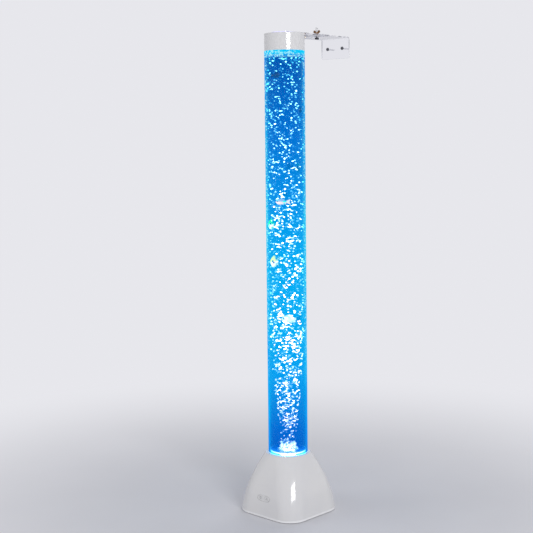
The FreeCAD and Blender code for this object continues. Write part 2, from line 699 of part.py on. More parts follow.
def make_valve_box():
    """The air chamber, with two ears for the lever's pin and the upright outlet pipe."""
    high_x = VALVE_BOX_X + VALVE_BOX_LENGTH
    body_low = (VALVE_BOX_X, -VALVE_BOX_HALF_WIDTH, VALVE_BOX_BOTTOM)
    body = box(body_low, (high_x, VALVE_BOX_HALF_WIDTH, VALVE_BOX_TOP))
    solids = [cylinder(OUTLET_R, VALVE_BOX_TOP, outlet_top, OUTLET_X, 0)]
    for side in (-1, 1):
        low_y = min(side * ear_inner_y, side * ear_outer_y)
        high_y = max(side * ear_inner_y, side * ear_outer_y)
        solids.append(cylinder_y(PIVOT_EAR_R, low_y, high_y, PIVOT_X, PIVOT_Z))
        ear_low = (PIVOT_X - PIVOT_EAR_R, low_y, VALVE_BOX_TOP)
        solids.append(box(ear_low, (PIVOT_X + PIVOT_EAR_R, high_y, PIVOT_Z)))
    body = fused(body, *solids)
    chamber_low = VALVE_BOX_BOTTOM + PUMP_WALL
    half_y = VALVE_BOX_HALF_WIDTH - PUMP_WALL
    chamber_corner = (high_x - PUMP_WALL, half_y, VALVE_BOX_TOP - PUMP_WALL)
    cuts = [box((VALVE_BOX_X + PUMP_WALL, -half_y, chamber_low), chamber_corner)]
    cuts.append(cylinder(OUTLET_BORE_R, chamber_low, outlet_top, OUTLET_X, 0))
    cuts.append(cylinder(DIAPHRAGM_TOP_R, VALVE_BOX_TOP - PUMP_WALL, VALVE_BOX_TOP, diaphragm_x, 0))
    cuts.append(cylinder_y(PIVOT_R, -ear_outer_y, ear_outer_y, PIVOT_X, PIVOT_Z))
    return body.cut(cuts)


def make_diaphragm():
    """A rubber bellows cap: wide on the valve box and narrow under the lever's post."""
    seat = Vector(diaphragm_x, 0, VALVE_BOX_TOP)
    outer = Part.makeCone(DIAPHRAGM_R, DIAPHRAGM_TOP_R, DIAPHRAGM_HEIGHT, seat, UP)
    inner_r = DIAPHRAGM_R - PUMP_WALL
    inner_height = DIAPHRAGM_HEIGHT - PUMP_WALL / 2
    inner = Part.makeCone(inner_r, DIAPHRAGM_TOP_R - PUMP_WALL, inner_height, seat, UP)
    return outer.cut(inner)


def make_pump_lever():
    bar_low = (LEVER_TIP_X, -LEVER_HALF_WIDTH, lever_bottom)
    bar = box(bar_low, (PIVOT_X, LEVER_HALF_WIDTH, lever_bottom + LEVER_THICK))
    hub = cylinder_y(LEVER_HUB_R, -LEVER_HALF_WIDTH, LEVER_HALF_WIDTH, PIVOT_X, PIVOT_Z)
    post = cylinder(LEVER_POST_R, VALVE_BOX_TOP + DIAPHRAGM_HEIGHT, lever_bottom, diaphragm_x, 0)
    bore_r = PIVOT_R + RUNNING_FIT
    bore = cylinder_y(bore_r, -LEVER_HALF_WIDTH, LEVER_HALF_WIDTH, PIVOT_X, PIVOT_Z)
    return fused(bar, hub, post).cut(bore)


save("pump_core", make_pump_core())
save("pump_coil", make_pump_coil())
save("pump_valve_box", make_valve_box())
save("pump_diaphragm", make_diaphragm())
save("pump_lever", make_pump_lever())
magnet_end_x = LEVER_TIP_X + MAGNET_LENGTH
magnet_low = (LEVER_TIP_X, -MAGNET_HALF_WIDTH, magnet_bottom)
save("pump_magnet", box(magnet_low, (magnet_end_x, MAGNET_HALF_WIDTH, lever_bottom)))
save("pump_pivot_pin", cylinder_y(PIVOT_R, -ear_outer_y, ear_outer_y, PIVOT_X, PIVOT_Z))

# ---- air path: short hose, non-return valve, and the bent hose up to the fitting ----
lower_hose_bottom = outlet_top - HOSE_GRIP
valve_bottom = lower_hose_bottom + HOSE_LOWER_LENGTH
valve_top = valve_bottom + CHECK_VALVE_HEIGHT
save("air_hose_lower", ring(hose_outer_r, hose_bore_r, lower_hose_bottom, valve_bottom, OUTLET_X, 0))


def make_check_valve():
    """A small barrel with a cone at each end, between the two hoses."""
    body_low = valve_bottom + CHECK_VALVE_CONE
    body_high = valve_top - CHECK_VALVE_CONE
    low_end = Vector(OUTLET_X, 0, valve_bottom)
    high_end = Vector(OUTLET_X, 0, body_high)
    low_cone = Part.makeCone(hose_outer_r, CHECK_VALVE_R, CHECK_VALVE_CONE, low_end, UP)
    high_cone = Part.makeCone(CHECK_VALVE_R, hose_outer_r, CHECK_VALVE_CONE, high_end, UP)
    body = fused(cylinder(CHECK_VALVE_R, body_low, body_high, OUTLET_X, 0), low_cone, high_cone)
    return body.cut(cylinder(OUTLET_BORE_R, valve_bottom, valve_top, OUTLET_X, 0))


def make_upper_hose():
    """Straight up from the valve, over in two equal quarter bends, and onto the fitting's barb."""
    bend_r = OUTLET_X / 2
    bend_low = valve_top + HOSE_STRAIGHT
    bend_mid = bend_low + bend_r
    bend_high = bend_mid + bend_r
    slant = bend_r * math.sqrt(0.5)
    start = Vector(OUTLET_X, 0, valve_top)
    first = Vector(OUTLET_X, 0, bend_low)
    first_mid = Vector(bend_r + slant, 0, bend_low + slant)
    middle = Vector(bend_r, 0, bend_mid)
    second_mid = Vector(bend_r - slant, 0, bend_high - slant)
    second = Vector(0, 0, bend_high)
    end = Vector(0, 0, max(barb_bottom + HOSE_GRIP, bend_high + HOSE_STRAIGHT))
    edges = [Part.LineSegment(start, first).toShape()]
    edges.append(Part.Arc(first, first_mid, middle).toShape())
    edges.append(Part.Arc(middle, second_mid, second).toShape())
    edges.append(Part.LineSegment(second, end).toShape())
    path = Part.Wire(edges)
    pipes = []
    for radius in (hose_outer_r, hose_bore_r):
        circle = Part.Wire(Part.makeCircle(radius, start, UP))
        pipes.append(path.makePipeShell([circle], True, False))
    return pipes[0].cut(pipes[1])


save("check_valve", make_check_valve())
save("air_hose_upper", make_upper_hose())

# ---- control board, its switches, the plungers and the two buttons ----
plunger_back_y = switch_front_y + PLUNGER_INSET
board_low = (-BOARD_HALF_WIDTH, board_front_y, BOARD_BOTTOM)
save("control_board", box(board_low, (BOARD_HALF_WIDTH, board_back_y, BOARD_TOP)))


def make_switch(x):
    half = SWITCH_SIZE / 2
    body = box((x - half, switch_front_y, BUTTON_Z - half), (x + half, board_front_y, BUTTON_Z + half))
    well_end = plunger_back_y + BUTTON_TRAVEL + TOUCH_GAP
    return body.cut(cylinder_y(PLUNGER_R + SCREW_FIT, switch_front_y, well_end, x, BUTTON_Z))


def make_button(x):
    """A button flush with the base's skin, with a lip behind the wall and a stem to its switch."""
    face = button_prism(0, -BASE_HALF_SIDE, lip_back_y, x).common(base_skin)
    lip = button_prism(BUTTON_LIP, lip_front_y, lip_back_y, x)
    stem = cylinder_y(BUTTON_STEM_R, lip_back_y, plunger_front_y, x, BUTTON_Z)
    return fused(face, lip, stem)


save("tact_switches", *[make_switch(x) for name, x in button_spots])
for name, x in button_spots:
    save(name + "_plunger", cylinder_y(PLUNGER_R, plunger_front_y, plunger_back_y, x, BUTTON_Z))
    save(name + "_button", make_button(x))

# ---- supply inlet ----
jack_face_y = jack_seat_y + JACK_FLANGE_THICK


def make_dc_jack():
    flange = cylinder_y(JACK_FLANGE_R, jack_seat_y, jack_face_y, JACK_X, JACK_Z)
    body = cylinder_y(JACK_BODY_R, jack_face_y - JACK_LENGTH, jack_seat_y, JACK_X, JACK_Z)
    socket = cylinder_y(JACK_BORE_R, jack_face_y - JACK_BORE_DEPTH, jack_face_y, JACK_X, JACK_Z)
    pin_base_y = jack_face_y - JACK_BORE_DEPTH
    pin = cylinder_y(JACK_PIN_R, pin_base_y, pin_base_y + JACK_PIN_LENGTH, JACK_X, JACK_Z)
    return fused(fused(flange, body).cut(socket), pin)


def make_jack_nut():
    nut = hexagon(JACK_NUT_R, 0, JACK_NUT_THICK, 0, 0, JACK_BODY_R + RUNNING_FIT)
    return moved(spin(nut, 90, ORIGIN, ALONG_X), JACK_X, jack_pad_inner_y, JACK_Z)


save("dc_jack", make_dc_jack())
save("jack_nut", make_jack_nut())


# ---- wires inside the base ----
def make_wire(points):
    """A round wire along straight runs, with the same bend at every corner."""
    slant = WIRE_BEND_R * (1 - math.sqrt(0.5))
    edges = []
    start = points[0]
    for number in range(1, len(points) - 1):
        corner = points[number]
        back = points[number - 1].sub(corner).normalize()
        ahead = points[number + 1].sub(corner).normalize()
        bend_start = corner + back * WIRE_BEND_R
        bend_mid = corner + back * slant + ahead * slant
        bend_end = corner + ahead * WIRE_BEND_R
        edges.append(Part.LineSegment(start, bend_start).toShape())
        edges.append(Part.Arc(bend_start, bend_mid, bend_end).toShape())
        start = bend_end
    edges.append(Part.LineSegment(start, points[-1]).toShape())
    first_run = points[1].sub(points[0])
    circle = Part.Wire(Part.makeCircle(WIRE_R, points[0], first_run))
    return Part.Wire(edges).makePipeShell([circle], True, False)


wire_front_y = board_back_y + WIRE_BOARD_GAP
light_wire_high_z = LED_BOARD_BOTTOM - LIGHT_WIRE_DROP
inlet_run = [Vector(JACK_X, jack_face_y - JACK_LENGTH, JACK_Z), Vector(JACK_X, INLET_WIRE_Y, JACK_Z)]
inlet_run.append(Vector(WIRE_SIDE_X, INLET_WIRE_Y, JACK_Z))
inlet_run.append(Vector(WIRE_SIDE_X, wire_front_y, JACK_Z))
inlet_run.append(Vector(WIRE_BOARD_X, wire_front_y, JACK_Z))
inlet_run.append(Vector(WIRE_BOARD_X, wire_front_y, INLET_WIRE_Z))
inlet_run.append(Vector(WIRE_BOARD_X, board_back_y, INLET_WIRE_Z))

light_run = [Vector(-WIRE_BOARD_X, board_back_y, LIGHT_WIRE_Z)]
light_run.append(Vector(-WIRE_BOARD_X, wire_front_y, LIGHT_WIRE_Z))
light_run.append(Vector(-WIRE_BOARD_X, wire_front_y, light_wire_high_z))
light_run.append(Vector(-WIRE_BOARD_X, LIGHT_WIRE_END_Y, light_wire_high_z))
light_run.append(Vector(-WIRE_BOARD_X, LIGHT_WIRE_END_Y, LED_BOARD_BOTTOM))

pump_run = [Vector(PUMP_WIRE_X, board_back_y, PUMP_WIRE_Z), Vector(PUMP_WIRE_X, wire_front_y, PUMP_WIRE_Z)]
pump_run.append(Vector(-WIRE_SIDE_X, wire_front_y, PUMP_WIRE_Z))
pump_run.append(Vector(-WIRE_SIDE_X, wire_front_y, COIL_WIRE_Z))
pump_run.append(Vector(-WIRE_SIDE_X, 0, COIL_WIRE_Z))
pump_run.append(Vector(CORE_X - COIL_WALL, 0, COIL_WIRE_Z))
save("wires", make_wire(inlet_run), make_wire(light_run), make_wire(pump_run))


# ---- toy fish: name, x and y as shares of the tube's inner radius, height as a share of the water's
# depth, heading in degrees, then length, height and thickness ----
FISH = (
    ("fish_black_small", -0.0626, -0.6375, 0.9543, 20, 25.0, 14.0, 7.0),
    ("fish_black_tail", 0.5857, 0.5418, 0.8685, 313, 24.0, 15.0, 7.0),
    ("fish_dark_blue", 0.3753, -0.0876, 0.7266, 223, 20.0, 19.0, 8.0),
    ("fish_green_dark", 0.5677, 0.3802, 0.7251, 300, 20.0, 23.0, 10.0),
    ("fish_spotted", 0.0712, -0.1660, 0.6578, 30, 18.0, 10.0, 6.0),
    ("fish_pale_blue", 0.2132, -0.4404, 0.6405, 223, 37.0, 14.0, 9.0),
    ("fish_green_white", -0.5100, -0.5297, 0.5829, 262, 23.0, 24.0, 12.0),
    ("fish_yellow_white", -0.3807, -0.4971, 0.4877, 258, 24.0, 26.0, 13.0),
    ("fish_long_white", 0.3741, -0.0598, 0.3417, 223, 50.0, 19.0, 11.0),
)
BODY_SHARE = 0.72
TAIL_SHARE = 0.46
FIN_THICK = 1.4
TAIL_OVERLAP_SHARE = 0.04
TAIL_FORK_SHARE = 0.07
TAIL_ROOT_SHARE = 0.1
BACK_FIN_START = 0.28
BACK_FIN_PEAK = 0.66
BACK_FIN_REAR = 0.1
BACK_FIN_BASE = 0.3
BACK_FIN_TOP = 0.62
FISH_PROFILE = (
    (0.0, 0.12),
    (0.05, 0.36),
    (0.14, 0.64),
    (0.36, 1.0),
    (0.62, 0.84),
    (0.86, 0.42),
    (1.0, 0.24),
)


def ellipse_outline(x, half_height, half_thick):
    ellipse = Part.Ellipse(Vector(0, 0, 0), half_height, half_thick)
    outline = Part.Wire(ellipse.toShape())
    outline.rotate(ORIGIN, ALONG_Y, -90)
    outline.translate(Vector(x, 0, 0))
    return outline


def flat_fin(corners, grow):
    """An upright plate in the fish's middle plane, larger by grow all round."""
    low_y = -FIN_THICK / 2 - grow
    points = [Vector(x, low_y, z) for x, z in corners + corners[:1]]
    face = Part.Face(Part.makePolygon(points))
    if grow:
        face = face.makeOffset2D(grow)
    return face.extrude(Vector(0, FIN_THICK + 2 * grow, 0))


def make_fish(length, height, thick, grow):
    """A toy fish along +X, nose first, centred on the origin. grow makes the space it needs."""
    body_length = length * BODY_SHARE
    nose = length / 2
    outlines = []
    for share, fullness in FISH_PROFILE:
        x = nose + grow - (body_length + 2 * grow) * share
        outlines.append(ellipse_outline(x, height / 2 * fullness + grow, thick / 2 * fullness + grow))
    body = Part.makeLoft(outlines, True, False)
    root_x = nose - body_length + length * TAIL_OVERLAP_SHARE
    fork_x = -length / 2 + length * TAIL_FORK_SHARE
    tail_x = -length / 2
    root_z = height * TAIL_ROOT_SHARE
    tip_z = height * TAIL_SHARE
    tail_corners = [(root_x, root_z), (tail_x, tip_z), (fork_x, 0), (tail_x, -tip_z), (root_x, -root_z)]
    tail = flat_fin(tail_corners, grow)
    start_x = nose - body_length * BACK_FIN_START
    peak_x = nose - body_length * BACK_FIN_PEAK
    rear_x = peak_x - length * BACK_FIN_REAR
    base_z = height * BACK_FIN_BASE
    peak_z = height * BACK_FIN_TOP
    fin = flat_fin([(start_x, base_z), (peak_x, peak_z), (rear_x, base_z)], grow)
    return body.fuse(tail).fuse(fin)


def placed_fish(row, grow):
    name, x, y, depth, heading, length, height, thick = row
    z = DISC_TOP + (WATER_TOP - DISC_TOP) * depth
    fish = spin(make_fish(length, height, thick, grow), heading)
    return moved(fish, x * TUBE_INNER_R, y * TUBE_INNER_R, z)


def make_water():
    """The water in the tube, round the fitting, the air stone and each fish."""
    water = cylinder(TUBE_INNER_R - WATER_SKIN, DISC_TOP, WATER_TOP)
    cuts = [hexagon(FITTING_NUT_R + WATER_SKIN, DISC_TOP, nut_top, 0, 0, SCREW_FIT)]
    cuts.append(cylinder(FITTING_STEM_R + WATER_SKIN, DISC_TOP, nut_top))
    cuts.append(cylinder(AIR_STONE_R + WATER_SKIN, nut_top, nut_top + AIR_STONE_HEIGHT + WATER_SKIN))
    cuts.extend(placed_fish(row, FISH_GAP) for row in FISH)
    return water.cut(cuts)


for row in FISH:
    save(row[0], placed_fish(row, 0.0))
save("water", make_water())


# ---- cap: a hollow lid flush with the tube, with a spigot down inside it ----
spigot_r = TUBE_INNER_R - SPIGOT_FIT
ring_top = TUBE_TOP - CAP_RING_DROP
ring_bottom = ring_top - CAP_RING_HEIGHT
ring_seat_r = spigot_r - SPIGOT_WALL / 2
arm_screw_spots = [(-ARM_SCREW_X, ARM_SCREW_Y), (ARM_SCREW_X, ARM_SCREW_Y)]
cap_roof = OVERALL_HEIGHT - CAP_TOP_THICK


def make_cap():
    body = cylinder(TUBE_OUTER_R, TUBE_TOP, OVERALL_HEIGHT)
    body = body.makeFillet(CAP_TOP_FILLET, level_edges(body, OVERALL_HEIGHT))
    body = fused(body, cylinder(spigot_r, TUBE_TOP - SPIGOT_LENGTH, TUBE_TOP))
    hollow_r = spigot_r - SPIGOT_WALL
    body = body.cut(cylinder(hollow_r, TUBE_TOP - SPIGOT_LENGTH, cap_roof))
    bosses = [cylinder(ARM_BOSS_R, cap_roof - ARM_BOSS_LENGTH, cap_roof, x, y) for x, y in arm_screw_spots]
    body = fused(body, *bosses)
    cuts = [ring(spigot_r, ring_seat_r, ring_bottom, ring_top)]
    for x, y in arm_screw_spots:
        cuts.append(cylinder(ARM_SCREW_R, cap_roof - ARM_BOSS_LENGTH, OVERALL_HEIGHT, x, y))
    for side in (-1, 1):
        cuts.append(cylinder(CAP_VENT_R, cap_roof, OVERALL_HEIGHT, side * CAP_VENT_X, 0))
    return body.cut(cuts)


save("cap", make_cap())
save("cap_seal", ring(TUBE_INNER_R - RUNNING_FIT, ring_seat_r, ring_bottom, ring_top))


# ---- clear arm with its slot, screwed onto the cap ----
def slot_shape(start_y, end_y, radius, low, high):
    bar = box((-radius, start_y + radius, low), (radius, end_y - radius, high))
    ends = [cylinder(radius, low, high, 0, y) for y in (start_y + radius, end_y - radius)]
    return fused(bar, *ends)


def make_arm():
    round_end = cylinder(ARM_HALF_WIDTH, ARM_BOTTOM, ARM_TOP)
    half_length = ARM_END_Y / 2 + ARM_CORNER_R
    strip = rounded_block(ARM_HALF_WIDTH, half_length, ARM_CORNER_R, ARM_BOTTOM, ARM_TOP)
    strip = moved(strip, 0, ARM_END_Y - half_length, 0)
    strip = strip.cut(box((-ARM_HALF_WIDTH, -ARM_END_Y, ARM_BOTTOM), (ARM_HALF_WIDTH, 0, ARM_TOP)))
    arm = fused(round_end, strip)
    cuts = [slot_shape(ARM_SLOT_START, ARM_SLOT_END, ARM_SLOT_R, ARM_BOTTOM, ARM_TOP)]
    for x, y in arm_screw_spots:
        cuts.append(cylinder(ARM_SCREW_R + SCREW_FIT, ARM_BOTTOM, ARM_TOP, x, y))
    return arm.cut(cuts)


arm_screw_length = ARM_THICK + CAP_TOP_THICK + ARM_BOSS_LENGTH / 2
arm_screw = screw(ARM_SCREW_R, arm_screw_length, ARM_SCREW_HEAD_R, ARM_SCREW_HEAD_HEIGHT)
save("arm", make_arm())
save("arm_screws", *[moved(arm_screw, x, y, ARM_TOP) for x, y in arm_screw_spots])

# ---- wall bracket: one bent clear sheet, a leg under the arm and a plate on the wall ----
bracket_low = BRACKET_TOP - BRACKET_DROP
wall_screw_z = BRACKET_TOP - WALL_SCREW_DROP
plate_front_y = WALL_Y - BRACKET_THICK


def bent_profile():
    """The L seen from the side, with round inner and outer bends."""
    inner_r = BRACKET_BEND_R - BRACKET_THICK
    centre_y = WALL_Y - BRACKET_BEND_R
    centre_z = BRACKET_TOP - BRACKET_BEND_R
    slant = math.sqrt(0.5)
    points = [
        Vector(0, BRACKET_INNER_Y, BRACKET_TOP),
        Vector(0, centre_y, BRACKET_TOP),
        Vector(0, WALL_Y, centre_z),
        Vector(0, WALL_Y, bracket_low),
        Vector(0, plate_front_y, bracket_low),
        Vector(0, plate_front_y, centre_z),
        Vector(0, centre_y, BRACKET_UNDER),
        Vector(0, BRACKET_INNER_Y, BRACKET_UNDER),
    ]
    outer_mid = Vector(0, centre_y + BRACKET_BEND_R * slant, centre_z + BRACKET_BEND_R * slant)
    inner_mid = Vector(0, centre_y + inner_r * slant, centre_z + inner_r * slant)
    edges = [Part.LineSegment(points[0], points[1]).toShape()]
    edges.append(Part.Arc(points[1], outer_mid, points[2]).toShape())
    edges.append(Part.LineSegment(points[2], points[3]).toShape())
    edges.append(Part.LineSegment(points[3], points[4]).toShape())
    edges.append(Part.LineSegment(points[4], points[5]).toShape())
    edges.append(Part.Arc(points[5], inner_mid, points[6]).toShape())
    edges.append(Part.LineSegment(points[6], points[7]).toShape())
    edges.append(Part.LineSegment(points[7], points[0]).toShape())
    return Part.Wire(edges)


def make_wall_bracket():
    width = 2 * BRACKET_HALF_WIDTH
    bracket = Part.Face(bent_profile()).extrude(Vector(width, 0, 0))
    bracket = moved(bracket, -BRACKET_HALF_WIDTH, 0, 0)
    corners = []
    for edge in bracket.Edges:
        bounds = edge.BoundBox
        on_side = abs(abs(bounds.Center.x) - BRACKET_HALF_WIDTH) < EDGE_TOLERANCE
        flat = bounds.XLength < EDGE_TOLERANCE
        thin = abs(edge.Length - BRACKET_THICK) < EDGE_TOLERANCE
        if on_side and flat and thin:
            corners.append(edge)
    bracket = bracket.makeFillet(BRACKET_CORNER_R, corners)
    cuts = [cylinder(BOLT_R + SCREW_FIT, BRACKET_UNDER, BRACKET_TOP, 0, BOLT_Y)]
    cuts.append(cylinder(GUIDE_R + SCREW_FIT, BRACKET_UNDER, BRACKET_TOP, 0, GUIDE_Y))
    for side in (-1, 1):
        x = side * WALL_SCREW_X
        cuts.append(cylinder_y(WALL_SCREW_R + SCREW_FIT, plate_front_y, WALL_Y, x, wall_screw_z))
    return bracket.cut(cuts)


def make_wall_screw(x):
    """A wood screw through the plate, with its plain shank and point standing out of the back."""
    head = screw_head(WALL_SCREW_HEAD_R, WALL_SCREW_HEAD_HEIGHT, WALL_SCREW_R)
    shank_low = -(WALL_SCREW_LENGTH - WALL_SCREW_TIP)
    neck = cylinder(WALL_SCREW_NECK_R, -BRACKET_THICK, 0)
    shank = cylinder(WALL_SCREW_R, shank_low, -BRACKET_THICK)
    tip_start = Vector(0, 0, shank_low)
    tip = Part.makeCone(WALL_SCREW_R, WALL_SCREW_POINT_R, WALL_SCREW_TIP, tip_start, Vector(0, 0, -1))
    whole = fused(head, neck, shank, tip)
    return moved(spin(whole, 90, ORIGIN, ALONG_X), x, plate_front_y, wall_screw_z)


save("wall_bracket", make_wall_bracket())
save("wall_screws", *[make_wall_screw(side * WALL_SCREW_X) for side in (-1, 1)])
bolt = upside_down(screw(BOLT_R, BOLT_LENGTH, BOLT_HEAD_R, BOLT_HEAD_HEIGHT))
save("bracket_bolt", moved(bolt, 0, BOLT_Y, BRACKET_UNDER))
washer_top = ARM_TOP + WASHER_THICK
save("bolt_washer", ring(WASHER_R, BOLT_R + SCREW_FIT, ARM_TOP, washer_top, 0, BOLT_Y))
guide_length = ARM_THICK + BRACKET_THICK + GUIDE_NUT_HEIGHT + WASHER_THICK
guide_screw = screw(GUIDE_R, guide_length, GUIDE_HEAD_R, GUIDE_HEAD_HEIGHT)
guide_nut_low = BRACKET_UNDER - GUIDE_NUT_HEIGHT
guide_bore_r = GUIDE_R + RUNNING_FIT
save("guide_screw", moved(guide_screw, 0, GUIDE_Y, ARM_TOP))
save("guide_nut", hexagon(GUIDE_NUT_R, guide_nut_low, BRACKET_UNDER, 0, GUIDE_Y, guide_bore_r))


def make_wing_nut():
    """A tapered hub with two upright rounded wings."""
    hub = Part.makeCone(WING_HUB_R, WING_HUB_TOP_R, WING_HUB_HEIGHT, ORIGIN, UP)
    tip_x = WING_SPAN - WING_TIP_R
    tip_z = WING_HEIGHT - WING_TIP_R
    inner_x = tip_x - WING_TIP_R
    wings = []
    for side in (-1, 1):
        corners = [(WING_ROOT_X, WING_FOOT_Z), (WING_HUB_R, WING_FOOT_Z), (WING_SPAN, tip_z)]
        corners += [(inner_x, tip_z), (WING_ROOT_X, WING_ROOT_TOP_Z), (WING_ROOT_X, WING_FOOT_Z)]
        outline = Part.makePolygon([Vector(side * x, -WING_THICK / 2, z) for x, z in corners])
        wings.append(Part.Face(outline).extrude(Vector(0, WING_THICK, 0)))
        wings.append(cylinder_y(WING_TIP_R, -WING_THICK / 2, WING_THICK / 2, side * tip_x, tip_z))
    nut = fused(hub, *wings)
    return nut.cut(cylinder(BOLT_R + RUNNING_FIT, 0, WING_HEIGHT))


save("wing_nut", moved(make_wing_nut(), 0, BOLT_Y, washer_top))
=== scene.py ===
import json
import math
import random

import bmesh
import bpy
from mathutils import Matrix, Vector, noise


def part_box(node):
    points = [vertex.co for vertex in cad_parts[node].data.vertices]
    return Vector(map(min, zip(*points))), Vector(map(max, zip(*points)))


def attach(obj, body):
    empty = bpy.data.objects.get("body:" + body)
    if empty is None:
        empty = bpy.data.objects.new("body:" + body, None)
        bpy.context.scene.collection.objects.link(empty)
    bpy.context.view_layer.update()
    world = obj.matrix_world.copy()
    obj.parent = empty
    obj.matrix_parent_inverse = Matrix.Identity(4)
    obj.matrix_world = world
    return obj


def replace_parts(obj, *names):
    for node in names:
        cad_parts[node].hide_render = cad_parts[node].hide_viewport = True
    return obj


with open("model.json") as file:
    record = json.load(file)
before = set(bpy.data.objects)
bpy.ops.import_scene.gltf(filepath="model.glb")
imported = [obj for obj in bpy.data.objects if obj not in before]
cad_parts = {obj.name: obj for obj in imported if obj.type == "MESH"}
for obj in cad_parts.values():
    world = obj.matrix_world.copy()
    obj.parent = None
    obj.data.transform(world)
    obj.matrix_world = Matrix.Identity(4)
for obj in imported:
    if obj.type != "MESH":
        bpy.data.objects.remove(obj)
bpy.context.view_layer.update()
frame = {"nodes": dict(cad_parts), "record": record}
nodes = frame["nodes"]
MM = 0.001

# ---- camera: fitted to the lamp's outline in the photograph ----
FRAME_PIXELS = 533
CAMERA_AZIMUTH = math.radians(42.767)
CAMERA_DISTANCE = 2.77833
CAMERA_HEIGHT = 0.94785
CAMERA_PITCH = math.radians(6.597)
CAMERA_ROLL = math.radians(-0.657)
CAMERA_YAW = math.radians(1.030)
CAMERA_FOCAL_PIXELS = 1115.30
SENSOR_WIDTH = 36.0

# ---- sizes of the pieces that are made here, in metres ----
WATER_R = 0.0469
WATER_BOTTOM = 0.158
WATER_TOP = 1.144
STONE_R = 0.012
STONE_TOP = 0.177
BUTTON_X = 0.0105
BUTTONS_X = 0.0
BUTTONS_Z = 0.049
OVAL_HALF_WIDTH = 0.0212
OVAL_HALF_HEIGHT = 0.0077
OVAL_POWER = 2.6


def make_camera():
    """A camera that stands where the photograph's did."""
    heading = CAMERA_AZIMUTH + CAMERA_YAW
    place = Vector(
        (
            math.sin(CAMERA_AZIMUTH) * CAMERA_DISTANCE,
            -math.cos(CAMERA_AZIMUTH) * CAMERA_DISTANCE,
            CAMERA_HEIGHT,
        )
    )
    level = math.cos(CAMERA_PITCH)
    forward = Vector((-math.sin(heading) * level, math.cos(heading) * level, -math.sin(CAMERA_PITCH)))
    right = Vector((math.cos(heading), math.sin(heading), 0))
    up = right.cross(forward)
    rolled_right = right * math.cos(CAMERA_ROLL) + up * math.sin(CAMERA_ROLL)
    rolled_up = up * math.cos(CAMERA_ROLL) - right * math.sin(CAMERA_ROLL)
    data = bpy.data.cameras.new("camera")
    data.sensor_width = SENSOR_WIDTH
    data.lens = CAMERA_FOCAL_PIXELS / FRAME_PIXELS * SENSOR_WIDTH
    camera = bpy.data.objects.new("camera", data)
    turn = Matrix((rolled_right, rolled_up, -forward)).transposed()
    camera.matrix_world = Matrix.Translation(place) @ turn.to_4x4()
    bpy.context.scene.collection.objects.link(camera)
    bpy.context.scene.camera = camera


# ---- materials ----
class Shade:
    """A material's node tree, built up from short calls."""

    def __init__(self, name):
        self.material = bpy.data.materials.new(name)
        self.material.use_nodes = True
        self.tree = self.material.node_tree
        self.tree.nodes.clear()
        self.output = self.tree.nodes.new("ShaderNodeOutputMaterial")

    def node(self, kind, settings=None, **sockets):
        made = self.tree.nodes.new("ShaderNode" + kind)
        for key, value in (settings or {}).items():
            setattr(made, key, value)
        for key, value in sockets.items():
            self.put(made, key.replace("_", " "), value)
        return made

    def put(self, made, key, value):
        socket = made.inputs[int(key[1:])] if key[0] == "i" and key[1:].isdigit() else made.inputs[key]
        if isinstance(value, bpy.types.NodeSocket):
            self.tree.links.new(value, socket)
        elif isinstance(value, bpy.types.Node):
            self.tree.links.new(value.outputs[0], socket)
        else:
            socket.default_value = value

    def position(self):
        """The place on the piece at rest, which moves with the piece."""
        return self.node("TexCoord").outputs["Object"]

    def noise(self, scale, detail=2.0, roughness=0.5, vector=None, stretch=None):
        where = vector or self.position()
        if stretch:
            where = self.node("Mapping", Vector=where, Scale=stretch).outputs[0]
        return self.node(
            "TexNoise", Vector=where, Scale=scale, Detail=detail, Roughness=roughness
        ).outputs["Fac"]

    def ramp(self, value, stops, smooth=False):
        made = self.node("ValToRGB", Fac=value)
        made.color_ramp.interpolation = "EASE" if smooth else "LINEAR"
        elements = made.color_ramp.elements
        while len(elements) < len(stops):
            elements.new(0.5)
        for element, (spot, colour) in zip(elements, stops):
            element.position = spot
            element.color = (*colour, 1) if isinstance(colour, tuple) else (colour, colour, colour, 1)
        return made.outputs[0]

    def math(self, operation, a, b=None):
        made = self.node("Math", {"operation": operation}, i0=a)
        if b is not None:
            self.put(made, "i1", b)
        return made.outputs[0]

    def height(self):
        return self.node("SeparateXYZ", Vector=self.position()).outputs["Z"]

    def between(self, value, low, high, start=0.0, end=1.0):
        return self.node(
            "MapRange", Value=value, From_Min=low, From_Max=high, To_Min=start, To_Max=end
        ).outputs[0]

    def blend(self, fac, first, second):
        """One colour over another."""
        made = self.node("Mix", {"data_type": "RGBA"}, i0=fac)
        self.put(made, "i6", first)
        self.put(made, "i7", second)
        return made.outputs[2]

    def mix(self, fac, first, second):
        made = self.node("MixShader", Fac=fac)
        self.put(made, "i1", first)
        self.put(made, "i2", second)
        return made

    def bump(self, height, strength, distance):
        return self.node("Bump", Height=height, Strength=strength, Distance=distance).outputs[0]

    def finish(self, shader):
        self.put(self.output, "Surface", shader)
        return self.material


def rgba(colour):
    return (*colour, 1.0)


PLASTIC_GRAIN = 420.0


def plastic(name, colour, other, roughness, spread=0.04, peel=0.12, coat=0.0):
    """Moulded plastic: a slight drift of colour, uneven gloss and a fine skin."""
    s = Shade(name)
    drift = s.noise(9.0, 3.0)
    base = s.ramp(drift, ((0.35, colour), (0.68, other)))
    gloss = s.between(s.noise(60.0, 3.0), 0.3, 0.7, roughness - spread, roughness + spread)
    skin = s.noise(PLASTIC_GRAIN, 2.0)
    body = s.node(
        "BsdfPrincipled",
        Base_Color=base,
        Roughness=gloss,
        Normal=s.bump(skin, peel, 0.0004),
        Coat_Weight=coat,
        Coat_Roughness=0.05,
        IOR=1.5,
    )
    return s.finish(body)


